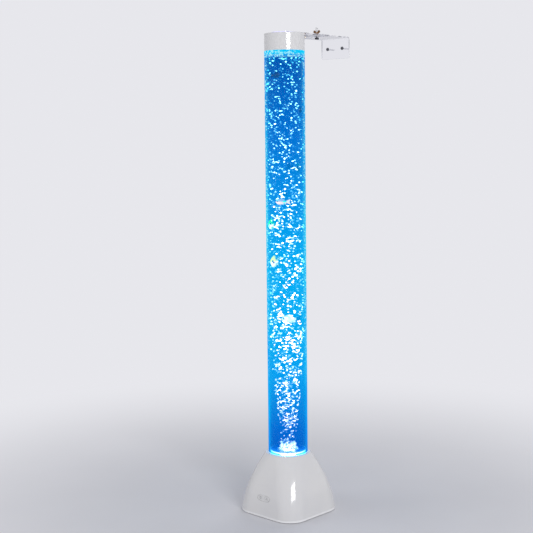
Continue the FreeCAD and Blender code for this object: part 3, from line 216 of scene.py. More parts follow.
def rubber(name, colour, other):
    s = Shade(name)
    base = s.ramp(s.noise(30.0, 4.0), ((0.3, colour), (0.7, other)))
    body = s.node(
        "BsdfPrincipled",
        Base_Color=base,
        Roughness=s.between(s.noise(90.0), 0.3, 0.7, 0.6, 0.8),
        Normal=s.bump(s.noise(1500.0, 3.0), 0.4, 0.0003),
    )
    return s.finish(body)


def metal(name, colour, other, roughness, stretch=(1, 1, 12), strength=0.15, tarnish=0.0):
    """Turned or plated metal with fine tool lines, and dulled patches where tarnish is above nothing."""
    s = Shade(name)
    lines = s.noise(900.0, 2.0, stretch=stretch)
    patches = s.noise(160.0, 4.0)
    base = s.ramp(patches, ((0.38, colour), (0.66, other)))
    gloss = s.between(patches, 0.35, 0.7, roughness, roughness + 0.1 + tarnish)
    body = s.node(
        "BsdfPrincipled",
        Base_Color=base,
        Metallic=1.0,
        Roughness=gloss,
        Normal=s.bump(lines, strength, 0.0002),
    )
    return s.finish(body)


PLATE_EDGE_BELOW = 1.15
INNER_END_BEFORE = 0.08


def clear_sheet(name, arm):
    """Clear acrylic sheet: nearly unseen face on, with polished cut edges that carry painted highlights and
    painted dark lines in streaks. The arm's round end stands on the lit cap and has a painted violet glow."""
    s = Shade(name)
    place = s.node("SeparateXYZ", Vector=s.position())
    facing = s.node("SeparateXYZ", Vector=s.node("TexCoord").outputs["Normal"])
    if arm:
        cut = s.math("LESS_THAN", s.math("ABSOLUTE", facing.outputs["Z"]), 0.5)
    else:
        side = s.math("GREATER_THAN", s.math("ABSOLUTE", facing.outputs["X"]), 0.5)
        low = s.math("LESS_THAN", place.outputs["Z"], PLATE_EDGE_BELOW)
        under = s.math("MULTIPLY", low, s.math("LESS_THAN", facing.outputs["Z"], -0.5))
        inner_end = s.math("LESS_THAN", facing.outputs["Y"], -0.5)
        near = s.math("MULTIPLY", s.math("LESS_THAN", place.outputs["Y"], INNER_END_BEFORE), inner_end)
        cut = s.math("MAXIMUM", s.math("MAXIMUM", under, near), side)
    # painted highlights and painted dark lines, in streaks, on the cut edges
    streak = s.noise(70.0, 3.0, stretch=(1, 1, 0.4))
    edge_glint_stops = ((0.38, (0.34, 0.34, 0.37)), (0.46, (0.72, 0.72, 0.76)), (0.58, (0.96, 0.96, 0.98)))
    edge_glints_and_shade = s.ramp(streak, edge_glint_stops)
    edge = s.node("BsdfPrincipled", Base_Color=edge_glints_and_shade, Roughness=0.12)
    if arm:
        # painted violet glow on the arm's edges, fading away from its end over the cap
        s.put(edge, "Emission Color", rgba((0.20, 0.16, 0.95)))
        s.put(edge, "Emission Strength", s.between(place.outputs["Y"], -0.034, 0.006, 1.2, 0.0))
    through = s.node("BsdfTransparent", Color=rgba((0.975, 0.975, 0.985)))
    smears = s.between(s.noise(45.0, 4.0), 0.4, 0.7, 0.04, 0.12)
    mirror = s.node("BsdfGlossy", Color=rgba((1, 1, 1)), Roughness=smears)
    sheet = s.mix(s.math("MULTIPLY", s.node("Fresnel", IOR=1.3), 0.22), through, mirror)
    return s.finish(s.mix(s.math("MULTIPLY", cut, 0.5 if arm else 0.75), sheet, edge))


# colours of the tube wall's painted glow, from foot to head
TUBE_GLOW_DEEP = (
    (0.0, (0.0, 0.22, 0.82)),
    (0.30, (0.0, 0.39, 0.92)),
    (0.55, (0.01, 0.50, 0.93)),
    (0.97, (0.0, 0.19, 0.68)),
    (0.987, (0.0, 0.20, 0.70)),
    (0.991, (0.0, 0.48, 0.97)),
)
TUBE_GLOW_PALE = (
    (0.0, (0.0, 0.32, 0.91)),
    (0.30, (0.0, 0.56, 0.97)),
    (0.55, (0.03, 0.70, 0.96)),
    (0.97, (0.0, 0.32, 0.84)),
    (0.987, (0.0, 0.30, 0.82)),
    (0.991, (0.0, 0.76, 1.0)),
)
TUBE_SKIN_R = 0.0485
TUBE_FOOT = 0.1505
TUBE_HEAD = 1.1405
FROTH_TOP = 1.151


def lit_tube(name):
    """The water tube's clear wall, with a painted blue glow for the light it carries along itself to its
    edges and ends.
    """
    s = Shade(name)
    place = s.node("SeparateXYZ", Vector=s.position())
    across = s.node("CombineXYZ", X=place.outputs["X"], Y=place.outputs["Y"])
    radius = s.node("VectorMath", {"operation": "LENGTH"}, i0=across).outputs["Value"]
    outside = s.math("GREATER_THAN", radius, TUBE_SKIN_R)
    slant = s.node("LayerWeight", Blend=0.5).outputs["Facing"]
    # painted glow: the outer wall's slanting rim, a band at the head and a pale band at the foot
    rim = s.ramp(slant, ((0.0, 0.0), (0.42, 0.0), (0.52, 0.25), (0.58, 0.7), (0.64, 1.0)))
    z = place.outputs["Z"]
    head = s.between(z, TUBE_HEAD, 1.1425, 0.0, 0.97)
    foot = s.between(z, TUBE_FOOT, 0.1535, 0.7, 0.0)
    glow_share = s.math("MAXIMUM", s.math("MULTIPLY", rim, outside), s.math("MAXIMUM", foot, head))
    # painted glow colours by height, wobbling between the deep and the pale ramp
    level = s.between(z, 0.15, 1.158)
    low = s.ramp(level, TUBE_GLOW_DEEP)
    high = s.ramp(level, TUBE_GLOW_PALE)
    wobble = s.noise(24.0, 3.0, stretch=(1, 1, 0.3))
    colour = s.blend(s.ramp(wobble, ((0.35, 0.0), (0.65, 1.0))), low, high)
    # painted bright flecks of lit bubbles on the wall and of froth under the head
    flecks = s.ramp(s.noise(150.0, 1.0, stretch=(1, 1, 1.5)), ((0.56, 0.0), (0.59, 1.0)))
    flecks = s.math("MULTIPLY", flecks, s.between(z, 0.32, 0.5, 0.0, 0.8))
    colour = s.blend(flecks, colour, rgba((0.40, 0.92, 1.0)))
    froth = s.ramp(s.noise(330.0, 1.0), ((0.55, 0.0), (0.59, 1.0)))
    in_froth = s.math("MULTIPLY", s.math("GREATER_THAN", z, TUBE_HEAD), s.math("LESS_THAN", z, FROTH_TOP))
    froth = s.math("MULTIPLY", froth, in_froth)
    colour = s.blend(s.math("MULTIPLY", froth, 0.85), colour, rgba((0.45, 0.90, 1.0)))
    colour = s.blend(s.math("GREATER_THAN", foot, 0.01), colour, rgba((0.45, 0.86, 1.0)))
    glow = s.node("Emission", Color=colour, Strength=1.0)
    # painted cyan tint where the outer wall is seen slanting
    slanting = s.math("MULTIPLY", s.ramp(slant, ((0.22, 0.0), (0.50, 1.0))), outside)
    tint = s.blend(slanting, rgba((0.985, 0.995, 1.0)), rgba((0.30, 0.97, 1.0)))
    through = s.node("BsdfTransparent", Color=tint)
    inner = s.mix(glow_share, through, glow)
    gloss = s.node("BsdfGlossy", Color=rgba((1, 1, 1)), Roughness=0.06)
    shine = s.math("MULTIPLY", s.node("Fresnel", IOR=1.25), s.math("MULTIPLY", outside, 0.12))
    return s.finish(s.mix(shine, inner, gloss))


# colours of the water's painted glow, from bottom to top
WATER_GLOW_HUES = (
    (0.0, (0.0, 0.12, 0.60)),
    (0.05, (0.0, 0.14, 0.66)),
    (0.18, (0.0, 0.33, 0.87)),
    (0.30, (0.0, 0.43, 0.91)),
    (0.50, (0.0, 0.41, 0.90)),
    (0.66, (0.0, 0.27, 0.79)),
    (0.80, (0.0, 0.17, 0.66)),
    (1.0, (0.0, 0.085, 0.43)),
)
WATER_ABSORBS = (75.0, 50.0, 45.0)


def lit_water(name):
    """Clear water that takes the red out of what shows through it, with a painted blue glow for the lamp's
    light from below.
    """
    s = Shade(name)
    place = s.node("NewGeometry").outputs["Position"]
    height = s.node("SeparateXYZ", Vector=place).outputs["Z"]
    # painted glow by height
    glow_hue = s.ramp(s.between(height, WATER_BOTTOM, WATER_TOP), WATER_GLOW_HUES)
    power = s.node("VectorMath", {"operation": "MULTIPLY"}, i0=glow_hue, i1=WATER_ABSORBS).outputs[0]
    glow = s.node("Emission", Color=power, Strength=1.0)
    density = max(WATER_ABSORBS)
    passed = [1 - channel / density for channel in WATER_ABSORBS]
    dim = s.node("VolumeAbsorption", Color=rgba(passed), Density=density)
    both = s.node("AddShader", i0=dim, i1=glow)
    s.put(s.output, "Volume", both)
    ripple = s.bump(s.noise(60.0, 2.0), 0.2, 0.001)
    through = s.node("BsdfTransparent", Color=rgba((1, 1, 1)))
    gloss = s.node("BsdfGlossy", Color=rgba((0.5, 0.9, 1.0)), Roughness=0.08, Normal=ripple)
    top = s.math("GREATER_THAN", height, WATER_TOP - 0.0035)
    return s.finish(s.mix(s.math("MULTIPLY", top, 0.35), through, gloss))


BUBBLE_POWER = 14.0


def bubble_skin(name):
    """Air bubbles with a painted glow: white where the lamp below reaches them, paler cyan towards the top.
    """
    s = Shade(name)
    z = s.between(s.height(), WATER_BOTTOM, WATER_TOP)
    # painted glow by height, with random brighter flecks
    colour = s.ramp(
        z,
        (
            (0.0, (0.90, 0.46, 0.38)),
            (0.06, (1.0, 0.46, 0.39)),
            (0.20, (0.84, 0.43, 0.37)),
            (0.40, (0.64, 0.36, 0.32)),
            (0.5, (0.46, 0.34, 0.31)),
            (0.66, (0.32, 0.32, 0.29)),
            (0.8, (0.16, 0.28, 0.27)),
            (1.0, (0.06, 0.24, 0.24)),
        ),
    )
    flecks = s.ramp(s.noise(240.0, 1.0), ((0.34, 0.35), (0.62, 1.0)))
    lit = s.node("VectorMath", {"operation": "MULTIPLY"}, i0=colour, i1=flecks).outputs[0]
    body = s.node(
        "BsdfPrincipled",
        Base_Color=rgba((0.8, 0.95, 1.0)),
        Roughness=0.15,
        Emission_Color=lit,
        Emission_Strength=BUBBLE_POWER,
    )
    made = s.finish(body)
    made.cycles.emission_sampling = "NONE"
    return made


FISH_LIGHT = (6.0, 3.0, 1.2)


def fish_skin(name, back, belly, patch, patch_share, patch_scale, tail, mark):
    """A painted toy fish: back and belly colours, patches of a third and a tail of its own colour. A painted
    glow stands in for the light in the water that shows its colours."""
    s = Shade(name)
    place = s.node("SeparateXYZ", Vector=s.node("TexCoord").outputs["Generated"])
    body = s.ramp(place.outputs["Z"], ((0.40, belly), (0.56, back)))
    blobs = s.noise(patch_scale, 1.0, vector=s.position())
    colour = s.blend(s.ramp(blobs, ((patch_share - 0.02, 0.0), (patch_share, 1.0))), body, rgba(patch))
    colour = s.blend(s.ramp(place.outputs["X"], ((0.24, 1.0), (0.30, 0.0))), colour, rgba(tail))
    mark_colour, mark_x, mark_z, mark_size = mark
    along = s.math("SUBTRACT", place.outputs["X"], mark_x)
    above = s.math("MULTIPLY", s.math("SUBTRACT", place.outputs["Z"], mark_z), 1.1)
    far = s.math("SQRT", s.math("ADD", s.math("MULTIPLY", along, along), s.math("MULTIPLY", above, above)))
    colour = s.blend(s.ramp(far, ((mark_size * 0.8, 1.0), (mark_size, 0.0))), colour, rgba(mark_colour))
    scales = s.node("TexVoronoi", Vector=s.position(), Scale=900.0).outputs["Distance"]
    # painted glow: the fish's colours given back as light
    lit = s.node("VectorMath", {"operation": "MULTIPLY"}, i0=colour, i1=FISH_LIGHT).outputs[0]
    skin = s.node(
        "BsdfPrincipled",
        Base_Color=colour,
        Roughness=0.25,
        Normal=s.bump(scales, 0.25, 0.0003),
        Emission_Color=lit,
        Emission_Strength=1.0,
    )
    made = s.finish(skin)
    made.cycles.emission_sampling = "NONE"
    return made


DISC_BOTTOM = 0.1462
DISC_TOP = 0.1578


def lit_disc(name):
    """The tube's clear bottom, lit from below and given as painted glow: a painted white highlight line at
    its upper edge, bright blue under it, and a pale patch of painted light in the middle, where the light
    board shines through and which shows through the clear edge."""
    s = Shade(name)
    place = s.node("SeparateXYZ", Vector=s.position())
    across = s.node("CombineXYZ", X=place.outputs["X"], Y=place.outputs["Y"])
    radius = s.node("VectorMath", {"operation": "LENGTH"}, i0=across).outputs["Value"]
    # painted glow round the disc's edge: pale below, bright blue, then a white highlight line at the top
    rim_glow = s.ramp(
        s.between(place.outputs["Z"], 0.146, 0.158),
        (
            (0.0, (0.6, 0.92, 1.0)),
            (0.45, (0.45, 0.88, 1.0)),
            (0.60, (0.02, 0.45, 0.97)),
            (0.80, (0.02, 0.50, 1.0)),
            (0.88, (0.80, 0.98, 1.0)),
            (1.0, (0.9, 1.0, 1.0)),
        ),
    )
    # painted glow on top: a white pool of light in the middle, blue, then a pale ring at the edge
    top_glow = s.ramp(
        s.math("MULTIPLY", radius, 20.0),
        (
            (0.38, (0.95, 1.0, 1.0)),
            (0.50, (0.30, 0.76, 1.0)),
            (0.60, (0.0, 0.24, 0.80)),
            (0.86, (0.0, 0.26, 0.82)),
            (0.90, (0.80, 0.98, 1.0)),
        ),
    )
    # painted glow underneath: white in the middle
    under_glow = s.ramp(
        s.math("MULTIPLY", radius, 20.0),
        ((0.50, (1.0, 1.0, 1.0)), (0.66, (0.35, 0.80, 1.0))),
    )
    colour = s.blend(s.math("GREATER_THAN", place.outputs["Z"], DISC_TOP), rim_glow, top_glow)
    under = s.math("LESS_THAN", place.outputs["Z"], DISC_BOTTOM)
    colour = s.blend(under, colour, under_glow)
    slant = s.node("LayerWeight", Blend=0.5).outputs["Facing"]
    clear = s.ramp(slant, ((0.09, 0.12), (0.16, 0.92)))
    on_top = s.math("GREATER_THAN", place.outputs["Z"], DISC_TOP)
    clear = s.math("MAXIMUM", s.math("MAXIMUM", clear, s.math("MULTIPLY", on_top, 0.92)), under)
    body = s.node(
        "BsdfPrincipled",
        Base_Color=colour,
        Roughness=s.between(s.noise(70.0, 3.0), 0.3, 0.7, 0.05, 0.15),
        Emission_Color=colour,
        Emission_Strength=1.0,
        Alpha=clear,
    )
    return s.finish(body)


def led_face(name):
    s = Shade(name)
    well = s.ramp(s.noise(900.0), ((0.3, (0.55, 0.85, 1.0)), (0.7, (0.8, 0.95, 1.0))))
    body = s.node(
        "BsdfPrincipled", Base_Color=well, Roughness=0.2, Emission_Color=well, Emission_Strength=2.5
    )
    return s.finish(body)


def circuit_board(name, colour, other):
    """Solder mask over faint tracks."""
    s = Shade(name)
    tracks = s.node("TexBrick", Vector=s.position(), Scale=160.0, Mortar_Size=0.01)
    tracks.inputs["Color1"].default_value = rgba(colour)
    tracks.inputs["Color2"].default_value = rgba(colour)
    tracks.inputs["Mortar"].default_value = rgba(other)
    roughness = s.between(s.noise(200.0), 0.3, 0.7, 0.35, 0.5)
    body = s.node("BsdfPrincipled", Base_Color=tracks, Roughness=roughness)
    return s.finish(body)


def air_stone(name):
    s = Shade(name)
    grains = s.node("TexVoronoi", Vector=s.position(), Scale=900.0).outputs["Distance"]
    base = s.ramp(grains, ((0.0, (0.55, 0.7, 0.75)), (0.6, (0.85, 0.95, 1.0))))
    body = s.node(
        "BsdfPrincipled",
        Base_Color=base,
        Roughness=0.9,
        Normal=s.bump(grains, 0.8, 0.0006),
        # painted glow: the stone gives back its own colours as light
        Emission_Color=base,
        Emission_Strength=0.5,
    )
    return s.finish(body)


def shell_plastic(name):
    """The base's gloss white moulding: paler along its lower edge as a painted highlight, with a thin grey
    oval line of painted shade round the buttons, patchy and darker along its lower half."""
    s = Shade(name)
    place = s.node("SeparateXYZ", Vector=s.position())
    x, y, z = (place.outputs[axis] for axis in "XYZ")
    drift = s.ramp(s.noise(9.0, 3.0), ((0.35, (0.79, 0.78, 0.77)), (0.68, (0.75, 0.745, 0.75))))
    # painted highlight: the lowest few millimetres of the shell are paler
    base = s.blend(s.between(z, 0.005, 0.0085, 1.0, 0.0), drift, rgba((0.97, 0.97, 0.97)))
    aside = s.math("DIVIDE", s.math("SUBTRACT", x, BUTTONS_X), OVAL_HALF_WIDTH)
    above = s.math("DIVIDE", s.math("SUBTRACT", z, BUTTONS_Z), OVAL_HALF_HEIGHT)
    aside, up = (s.math("POWER", s.math("ABSOLUTE", way), OVAL_POWER) for way in (aside, above))
    far = s.math("SQRT", s.math("ADD", aside, up))
    # painted shade: a thin grey oval line round the buttons, in random patches and darker along its lower
    # half
    line = s.ramp(far, ((0.93, 0.0), (0.96, 1.0), (1.0, 1.0), (1.03, 0.0)))
    front = s.math("LESS_THAN", y, -0.04)
    dark_mark = s.math("MULTIPLY", line, front)
    patchy = s.between(s.noise(150.0, 2.0), 0.35, 0.6, 0.7, 1.0)
    wear_and_shade = s.math("MULTIPLY", patchy, s.between(above, -1.0, 1.0, 1.0, 0.55))
    base = s.blend(s.math("MULTIPLY", dark_mark, wear_and_shade), base, rgba((0.22, 0.21, 0.21)))
    gloss = s.between(s.noise(60.0, 3.0), 0.3, 0.7, 0.10, 0.15)
    body = s.node(
        "BsdfPrincipled",
        Base_Color=base,
        Roughness=gloss,
        Normal=s.bump(s.noise(PLASTIC_GRAIN, 2.0), 0.008, 0.0003),
        Coat_Weight=0.35,
        Coat_Roughness=0.05,
        IOR=1.5,
    )
    return s.finish(body)


def button_face(name, centre_x, power_sign):
    """A button's white face with a grey printed sign: a ring open at the top with a bar in it, or a ring of
    three spots for the change of colour."""
    s = Shade(name)
    place = s.node("SeparateXYZ", Vector=s.position())
    x = s.math("SUBTRACT", place.outputs["X"], centre_x)
    z = s.math("SUBTRACT", place.outputs["Z"], BUTTONS_Z)

    def near(at_x, at_z):
        dx = s.math("SUBTRACT", x, at_x)
        dz = s.math("SUBTRACT", z, at_z)
        return s.math("SQRT", s.math("ADD", s.math("MULTIPLY", dx, dx), s.math("MULTIPLY", dz, dz)))

    if power_sign:
        ring = s.math("LESS_THAN", s.math("ABSOLUTE", s.math("SUBTRACT", near(0.0, 0.0), 0.0026)), 0.0004)
        beside = s.math("ABSOLUTE", x)
        above = s.math("GREATER_THAN", z, 0.0)
        slot = s.math("MULTIPLY", s.math("LESS_THAN", beside, 0.0010), above)
        ring = s.math("MULTIPLY", ring, s.math("SUBTRACT", 1.0, slot))
        span = s.math("LESS_THAN", s.math("ABSOLUTE", s.math("SUBTRACT", z, 0.0020)), 0.0017)
        sign = s.math("MAXIMUM", ring, s.math("MULTIPLY", s.math("LESS_THAN", beside, 0.0004), span))
    else:
        spots = [near(0.0022 * math.sin(turn), 0.0022 * math.cos(turn)) for turn in (0.0, 2.094, 4.189)]
        nearest = s.math("MINIMUM", s.math("MINIMUM", spots[0], spots[1]), spots[2])
        sign = s.math("LESS_THAN", nearest, 0.0011)
    drift = s.ramp(s.noise(40.0, 3.0), ((0.35, (0.76, 0.755, 0.75)), (0.68, (0.70, 0.70, 0.70))))
    facing = s.node("SeparateXYZ", Vector=s.node("TexCoord").outputs["Normal"])
    front = s.math("LESS_THAN", facing.outputs["Y"], -0.5)
    dark_mark = s.math("MULTIPLY", s.math("MULTIPLY", sign, front), 0.85)
    printed = s.blend(dark_mark, drift, rgba((0.16, 0.16, 0.17)))
    body = s.node(
        "BsdfPrincipled",
        Base_Color=printed,
        Roughness=s.between(s.noise(90.0, 3.0), 0.3, 0.7, 0.22, 0.3),
        Normal=s.bump(s.noise(700.0, 2.0), 0.08, 0.0002),
    )
    return s.finish(body)


def screw_steel(name, back_y):
    """Blackened screw heads on bright zinc shanks."""
    s = Shade(name)
    y = s.node("SeparateXYZ", Vector=s.position()).outputs["Y"]
    shank = s.math("GREATER_THAN", y, back_y)
    patches = s.ramp(s.noise(300.0, 3.0), ((0.4, (0.08, 0.08, 0.09)), (0.65, (0.26, 0.26, 0.28))))
    base = s.blend(shank, patches, rgba((0.93, 0.93, 0.95)))
    body = s.node(
        "BsdfPrincipled",
        Base_Color=base,
        Metallic=1.0,
        Roughness=s.between(patches, 0.0, 0.2, 0.3, 0.45),
        Normal=s.bump(s.noise(900.0, 2.0), 0.2, 0.0002),
    )
    return s.finish(body)


def two_tone_metal(name, split_z, above, below, roughness):
    """A plated metal in one colour above a height and another below it, with dull patches. On the bracket
    bolt the dark colour below the arm is painted shade under the bracket."""
    s = Shade(name)
    patches = s.ramp(s.noise(260.0, 3.0), ((0.4, 0.75), (0.65, 1.0)))
    higher = s.math("GREATER_THAN", s.height(), split_z)
    colour = s.blend(higher, rgba(below), rgba(above))
    wear_and_shade = s.node("VectorMath", {"operation": "MULTIPLY"}, i0=colour, i1=patches).outputs[0]
    body = s.node(
        "BsdfPrincipled",
        Base_Color=wear_and_shade,
        Metallic=1.0,
        Roughness=s.between(patches, 0.7, 1.0, roughness, roughness + 0.12),
        Normal=s.bump(s.noise(900.0, 2.0), 0.15, 0.0002),
    )
    return s.finish(body)


MATERIALS = {
    "white_gloss": plastic("gloss_white", (0.80, 0.795, 0.79), (0.76, 0.757, 0.76), 0.12, 0.015, 0.006, 0.35),
    "white_matt": plastic("inner_white", (0.7, 0.7, 0.69), (0.62, 0.62, 0.62), 0.45),
    "black_rubber": rubber("foot_rubber", (0.02, 0.02, 0.02), (0.045, 0.045, 0.045)),
    "steel": metal("zinc_steel", (0.5, 0.5, 0.52), (0.38, 0.38, 0.4), 0.28),
    "dark_steel": metal("blackened_steel", (0.075, 0.07, 0.075), (0.03, 0.03, 0.03), 0.4, tarnish=0.1),
    "nickel": metal("nickel_plate", (0.72, 0.7, 0.67), (0.55, 0.53, 0.5), 0.16),
    "brass": metal("plain_brass", (0.26, 0.15, 0.08), (0.11, 0.06, 0.035), 0.26, tarnish=0.15),
    "tube_acrylic": lit_tube("tube_wall"),
    "disc_acrylic": lit_disc("tube_bottom"),
    "clear_acrylic": clear_sheet("bent_sheet", False),
    "clear_silicone": rubber("silicone", (0.6, 0.66, 0.7), (0.7, 0.75, 0.78)),
    "board_white": circuit_board("light_board", (0.78, 0.78, 0.74), (0.6, 0.6, 0.56)),
    "board_green": circuit_board("control_board_mask", (0.02, 0.16, 0.06), (0.05, 0.26, 0.11)),
    "led_lens": led_face("lit_lens"),
    "air_stone": air_stone("sintered_stone"),
    "grey_plastic": plastic("pump_grey", (0.2, 0.21, 0.22), (0.26, 0.27, 0.28), 0.5),
    "black_plastic": plastic("black_moulding", (0.025, 0.025, 0.028), (0.04, 0.04, 0.045), 0.45),
    "button_white": plastic("button_white", (0.60, 0.595, 0.59), (0.55, 0.55, 0.55), 0.25, 0.03),
    "core_iron": metal("sheet_iron", (0.2, 0.2, 0.21), (0.13, 0.13, 0.14), 0.45, (1, 14, 1), 0.5),
    "copper": metal("enamelled_wire", (0.5, 0.2, 0.08), (0.38, 0.14, 0.05), 0.3, (1, 1, 16), 0.8),
    "magnet": metal("magnet_plate", (0.3, 0.3, 0.32), (0.24, 0.24, 0.26), 0.25),
}


def dress_nodes():
    """Gives each CAD piece whose slot in the record has a material here that material, then gives some pieces
    materials of their own.
    """
    for row in frame["record"]["subparts"]:
        made = MATERIALS.get(row["material_slot"])
        if made is None:
            continue
        mesh = nodes[row["node"]].data
        mesh.materials.clear()
        mesh.materials.append(made)
    arm_low, arm_high = (corner[2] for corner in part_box("arm"))
    plate_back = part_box("wall_bracket")[1][1]
    nut_brass = (0.62, 0.54, 0.44)
    head_brass = (0.22, 0.12, 0.06)
    shank_brass = (0.70, 0.62, 0.52)
    own = {
        "arm": clear_sheet("slotted_sheet", True),
        "base_shell": shell_plastic("shell_white"),
        "power_button": button_face("power_button_face", -BUTTON_X, True),
        "colour_button": button_face("colour_button_face", BUTTON_X, False),
        "wall_screws": screw_steel("wall_screw_steel", plate_back),
        "guide_screw": two_tone_metal("guide_screw_brass", arm_high, head_brass, shank_brass, 0.25),
        "guide_nut": two_tone_metal("guide_nut_brass", 0.0, nut_brass, nut_brass, 0.25),
        # the bolt's dark colour below the arm is painted shade under the bracket
        "bracket_bolt": two_tone_metal("bolt_steel", arm_low, (0.60, 0.60, 0.61), (0.09, 0.09, 0.10), 0.3),
    }
    for node, made in own.items():
        nodes[node].data.materials[0] = made


# ---- mesh helpers ----
def mesh_object(name, mesh, body, material):
    made = bpy.data.objects.new(name, mesh)
    bpy.context.scene.collection.objects.link(made)
    mesh.polygons.foreach_set("use_smooth", [True] * len(mesh.polygons))
    mesh.materials.append(material)
    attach(made, body)
    return made


def turned(name, profile, segments):
    """A closed mesh turned about the Z axis from (radius, height) points."""
    vertices = []
    faces = []
    for radius, z in profile:
        for step in range(segments):
            angle = 2 * math.pi * step / segments
            vertices.append((radius * math.cos(angle), radius * math.sin(angle), z))
    rows = len(profile)
    for row in range(rows - 1):
        for step in range(segments):
            ahead = (step + 1) % segments
            below = row * segments
            above = (row + 1) * segments
            faces.append((below + step, below + ahead, above + ahead, above + step))
    faces.append(tuple(range(segments))[::-1])
    faces.append(tuple((rows - 1) * segments + step for step in range(segments)))
    mesh = bpy.data.meshes.new(name)
    mesh.from_pydata(vertices, [], faces)
    mesh.update()
    return mesh


# ---- water: its outer form with the curved rim at the top ----
WATER_SEGMENTS = 96
MENISCUS = 0.0016


def make_water():
    rise = [(WATER_R - 0.0035, WATER_TOP - MENISCUS), (WATER_R - 0.0012, WATER_TOP - MENISCUS * 0.6)]
    profile = [(0.0125, WATER_BOTTOM + 0.0002), (WATER_R, WATER_BOTTOM), (WATER_R, WATER_TOP)]
    profile += [rise[1], rise[0], (0.006, WATER_TOP - MENISCUS)]
    mesh = turned("water_body", profile, WATER_SEGMENTS)
    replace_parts(mesh_object("water_body", mesh, "lamp", lit_water("lit_water")), "water")


# ---- bubbles ----
BUBBLE_SEED = 7
RISING_BUBBLES = 1950
STREAKS = 400
FOOT_BUBBLES = 230
SURFACE_BUBBLES = 50
STREAK_HEIGHTS = ((0.42, 0.82), (0.22, 0.46), (0.24, 0.50), (0.42, 0.82), (0.80, 1.13))
PLUME = ((0.178, 0.019), (0.200, 0.022), (0.280, 0.030), (0.430, 0.043), (1.2, 0.0455))
PLUME_SPREAD_Z = 0.43
RISE_START = 0.179
RISE_LOST = 0.183
RISE_POWER = 0.87
WALL_MARGIN = 0.0006
SURFACE_MARGIN = 0.002
FOOT_START = 0.1592
SURFACE_REACH = 0.045


def plume_radius(z):
    for (low_z, low_r), (high_z, high_r) in zip(PLUME, PLUME[1:]):
        if z <= high_z:
            share = max(0.0, (z - low_z) / (high_z - low_z))
            return low_r + (high_r - low_r) * share
    return PLUME[-1][1]


def unit_ball(subdivisions):
    ball = bmesh.new()
    bmesh.ops.create_icosphere(ball, subdivisions=subdivisions, radius=1.0)
    vertices = [vertex.co.copy() for vertex in ball.verts]
    faces = [tuple(vertex.index for vertex in face.verts) for face in ball.faces]
    ball.free()
    return vertices, faces


def unit_pill(rings, sides):
    """A blunt form one unit long each way along X, in rings so that it can be bent."""
    vertices = [Vector((-1, 0, 0))]
    for ring in range(rings):
        x = -math.cos(math.pi * (ring + 1) / (rings + 1))
        reach = (1 - x * x) ** 0.4
        for side in range(sides):
            angle = 2 * math.pi * side / sides
            vertices.append(Vector((x, reach * math.sin(angle), reach * math.cos(angle))))
    vertices.append(Vector((1, 0, 0)))
    faces = []
    end = len(vertices) - 1
    for side in range(sides):
        ahead = (side + 1) % sides
        faces.append((0, 1 + side, 1 + ahead))
        for ring in range(rings - 1):
            low = 1 + ring * sides
            faces.append((low + side, low + sides + side, low + sides + ahead, low + ahead))
        faces.append((end, end - sides + ahead, end - sides + side))
    return vertices, faces


def round_form(draw, low, high):
    half = draw.uniform(low, high)
    return half * draw.uniform(0.95, 1.3), half, half * draw.uniform(0.55, 0.9), 0.0


def rising_bubble(draw, number):
    """Distance from the axis, height and form of a bubble on its way up."""
    z = RISE_START + (WATER_TOP - RISE_LOST) * ((number + draw.random()) / RISING_BUBBLES) ** RISE_POWER
    radius = plume_radius(z) * draw.random() ** (0.42 if z > PLUME_SPREAD_Z else 0.7)
    return radius, z, round_form(draw, 0.0012, 0.0027 if z < 0.85 else 0.0024)


def streak(draw, number):
    """A bubble drawn out flat and wavy as it rolls along the wall."""
    low, high = STREAK_HEIGHTS[number % len(STREAK_HEIGHTS)]
    z = draw.uniform(low, high)
    radius = plume_radius(z) * draw.random() ** 0.3
    form = (draw.uniform(0.0034, 0.0076), 0.0014, draw.uniform(0.0009, 0.0013), draw.uniform(0.0006, 0.0019))
    return radius, z, form


def foot_bubble(draw, number):
    """One of the bubbles that crowd round the air stone."""
    z = FOOT_START + 0.019 * draw.random() ** 1.6
    low = STONE_R + 0.001 if z < STONE_TOP + 0.001 else 0.001
    return draw.uniform(low, 0.024 - 0.3 * (z - 0.159)), z, round_form(draw, 0.0013, 0.0024)


def surface_bubble(draw, number):
    """One of the bubbles that gather under the water's surface."""
    z = WATER_TOP - draw.uniform(0.003, 0.009)
    return SURFACE_REACH * draw.random() ** 0.45, z, round_form(draw, 0.0012, 0.0025)


FISH_CLEARANCE = 0.001
FISH_BELOW = 0.62
FISH_ABOVE = 0.64


def fish_rises():
    """How far each fish drifts up."""
    joints = frame["record"]["behaviour"]["joints"]
    return {joint["child"]: joint["range_m"][1] for joint in joints if joint["name"].endswith("_drift")}


def in_fish_way(centre, reach, rises):
    """Whether a bubble would touch a fish anywhere on the fish's way up."""
    for node, slot, place, heading, (length, height, thick), paint in FISH:
        away = centre - Vector(place) * MM
        angle = math.radians(heading)
        along = away.x * math.cos(angle) + away.y * math.sin(angle)
        aside = away.y * math.cos(angle) - away.x * math.sin(angle)
        room = reach + FISH_CLEARANCE
        low = -height * MM * FISH_BELOW - room
        high = height * MM * FISH_ABOVE + rises[node] + room
        if abs(along) < length * MM / 2 + room and abs(aside) < thick * MM / 2 + room and low < away.z < high:
            return True
    return False


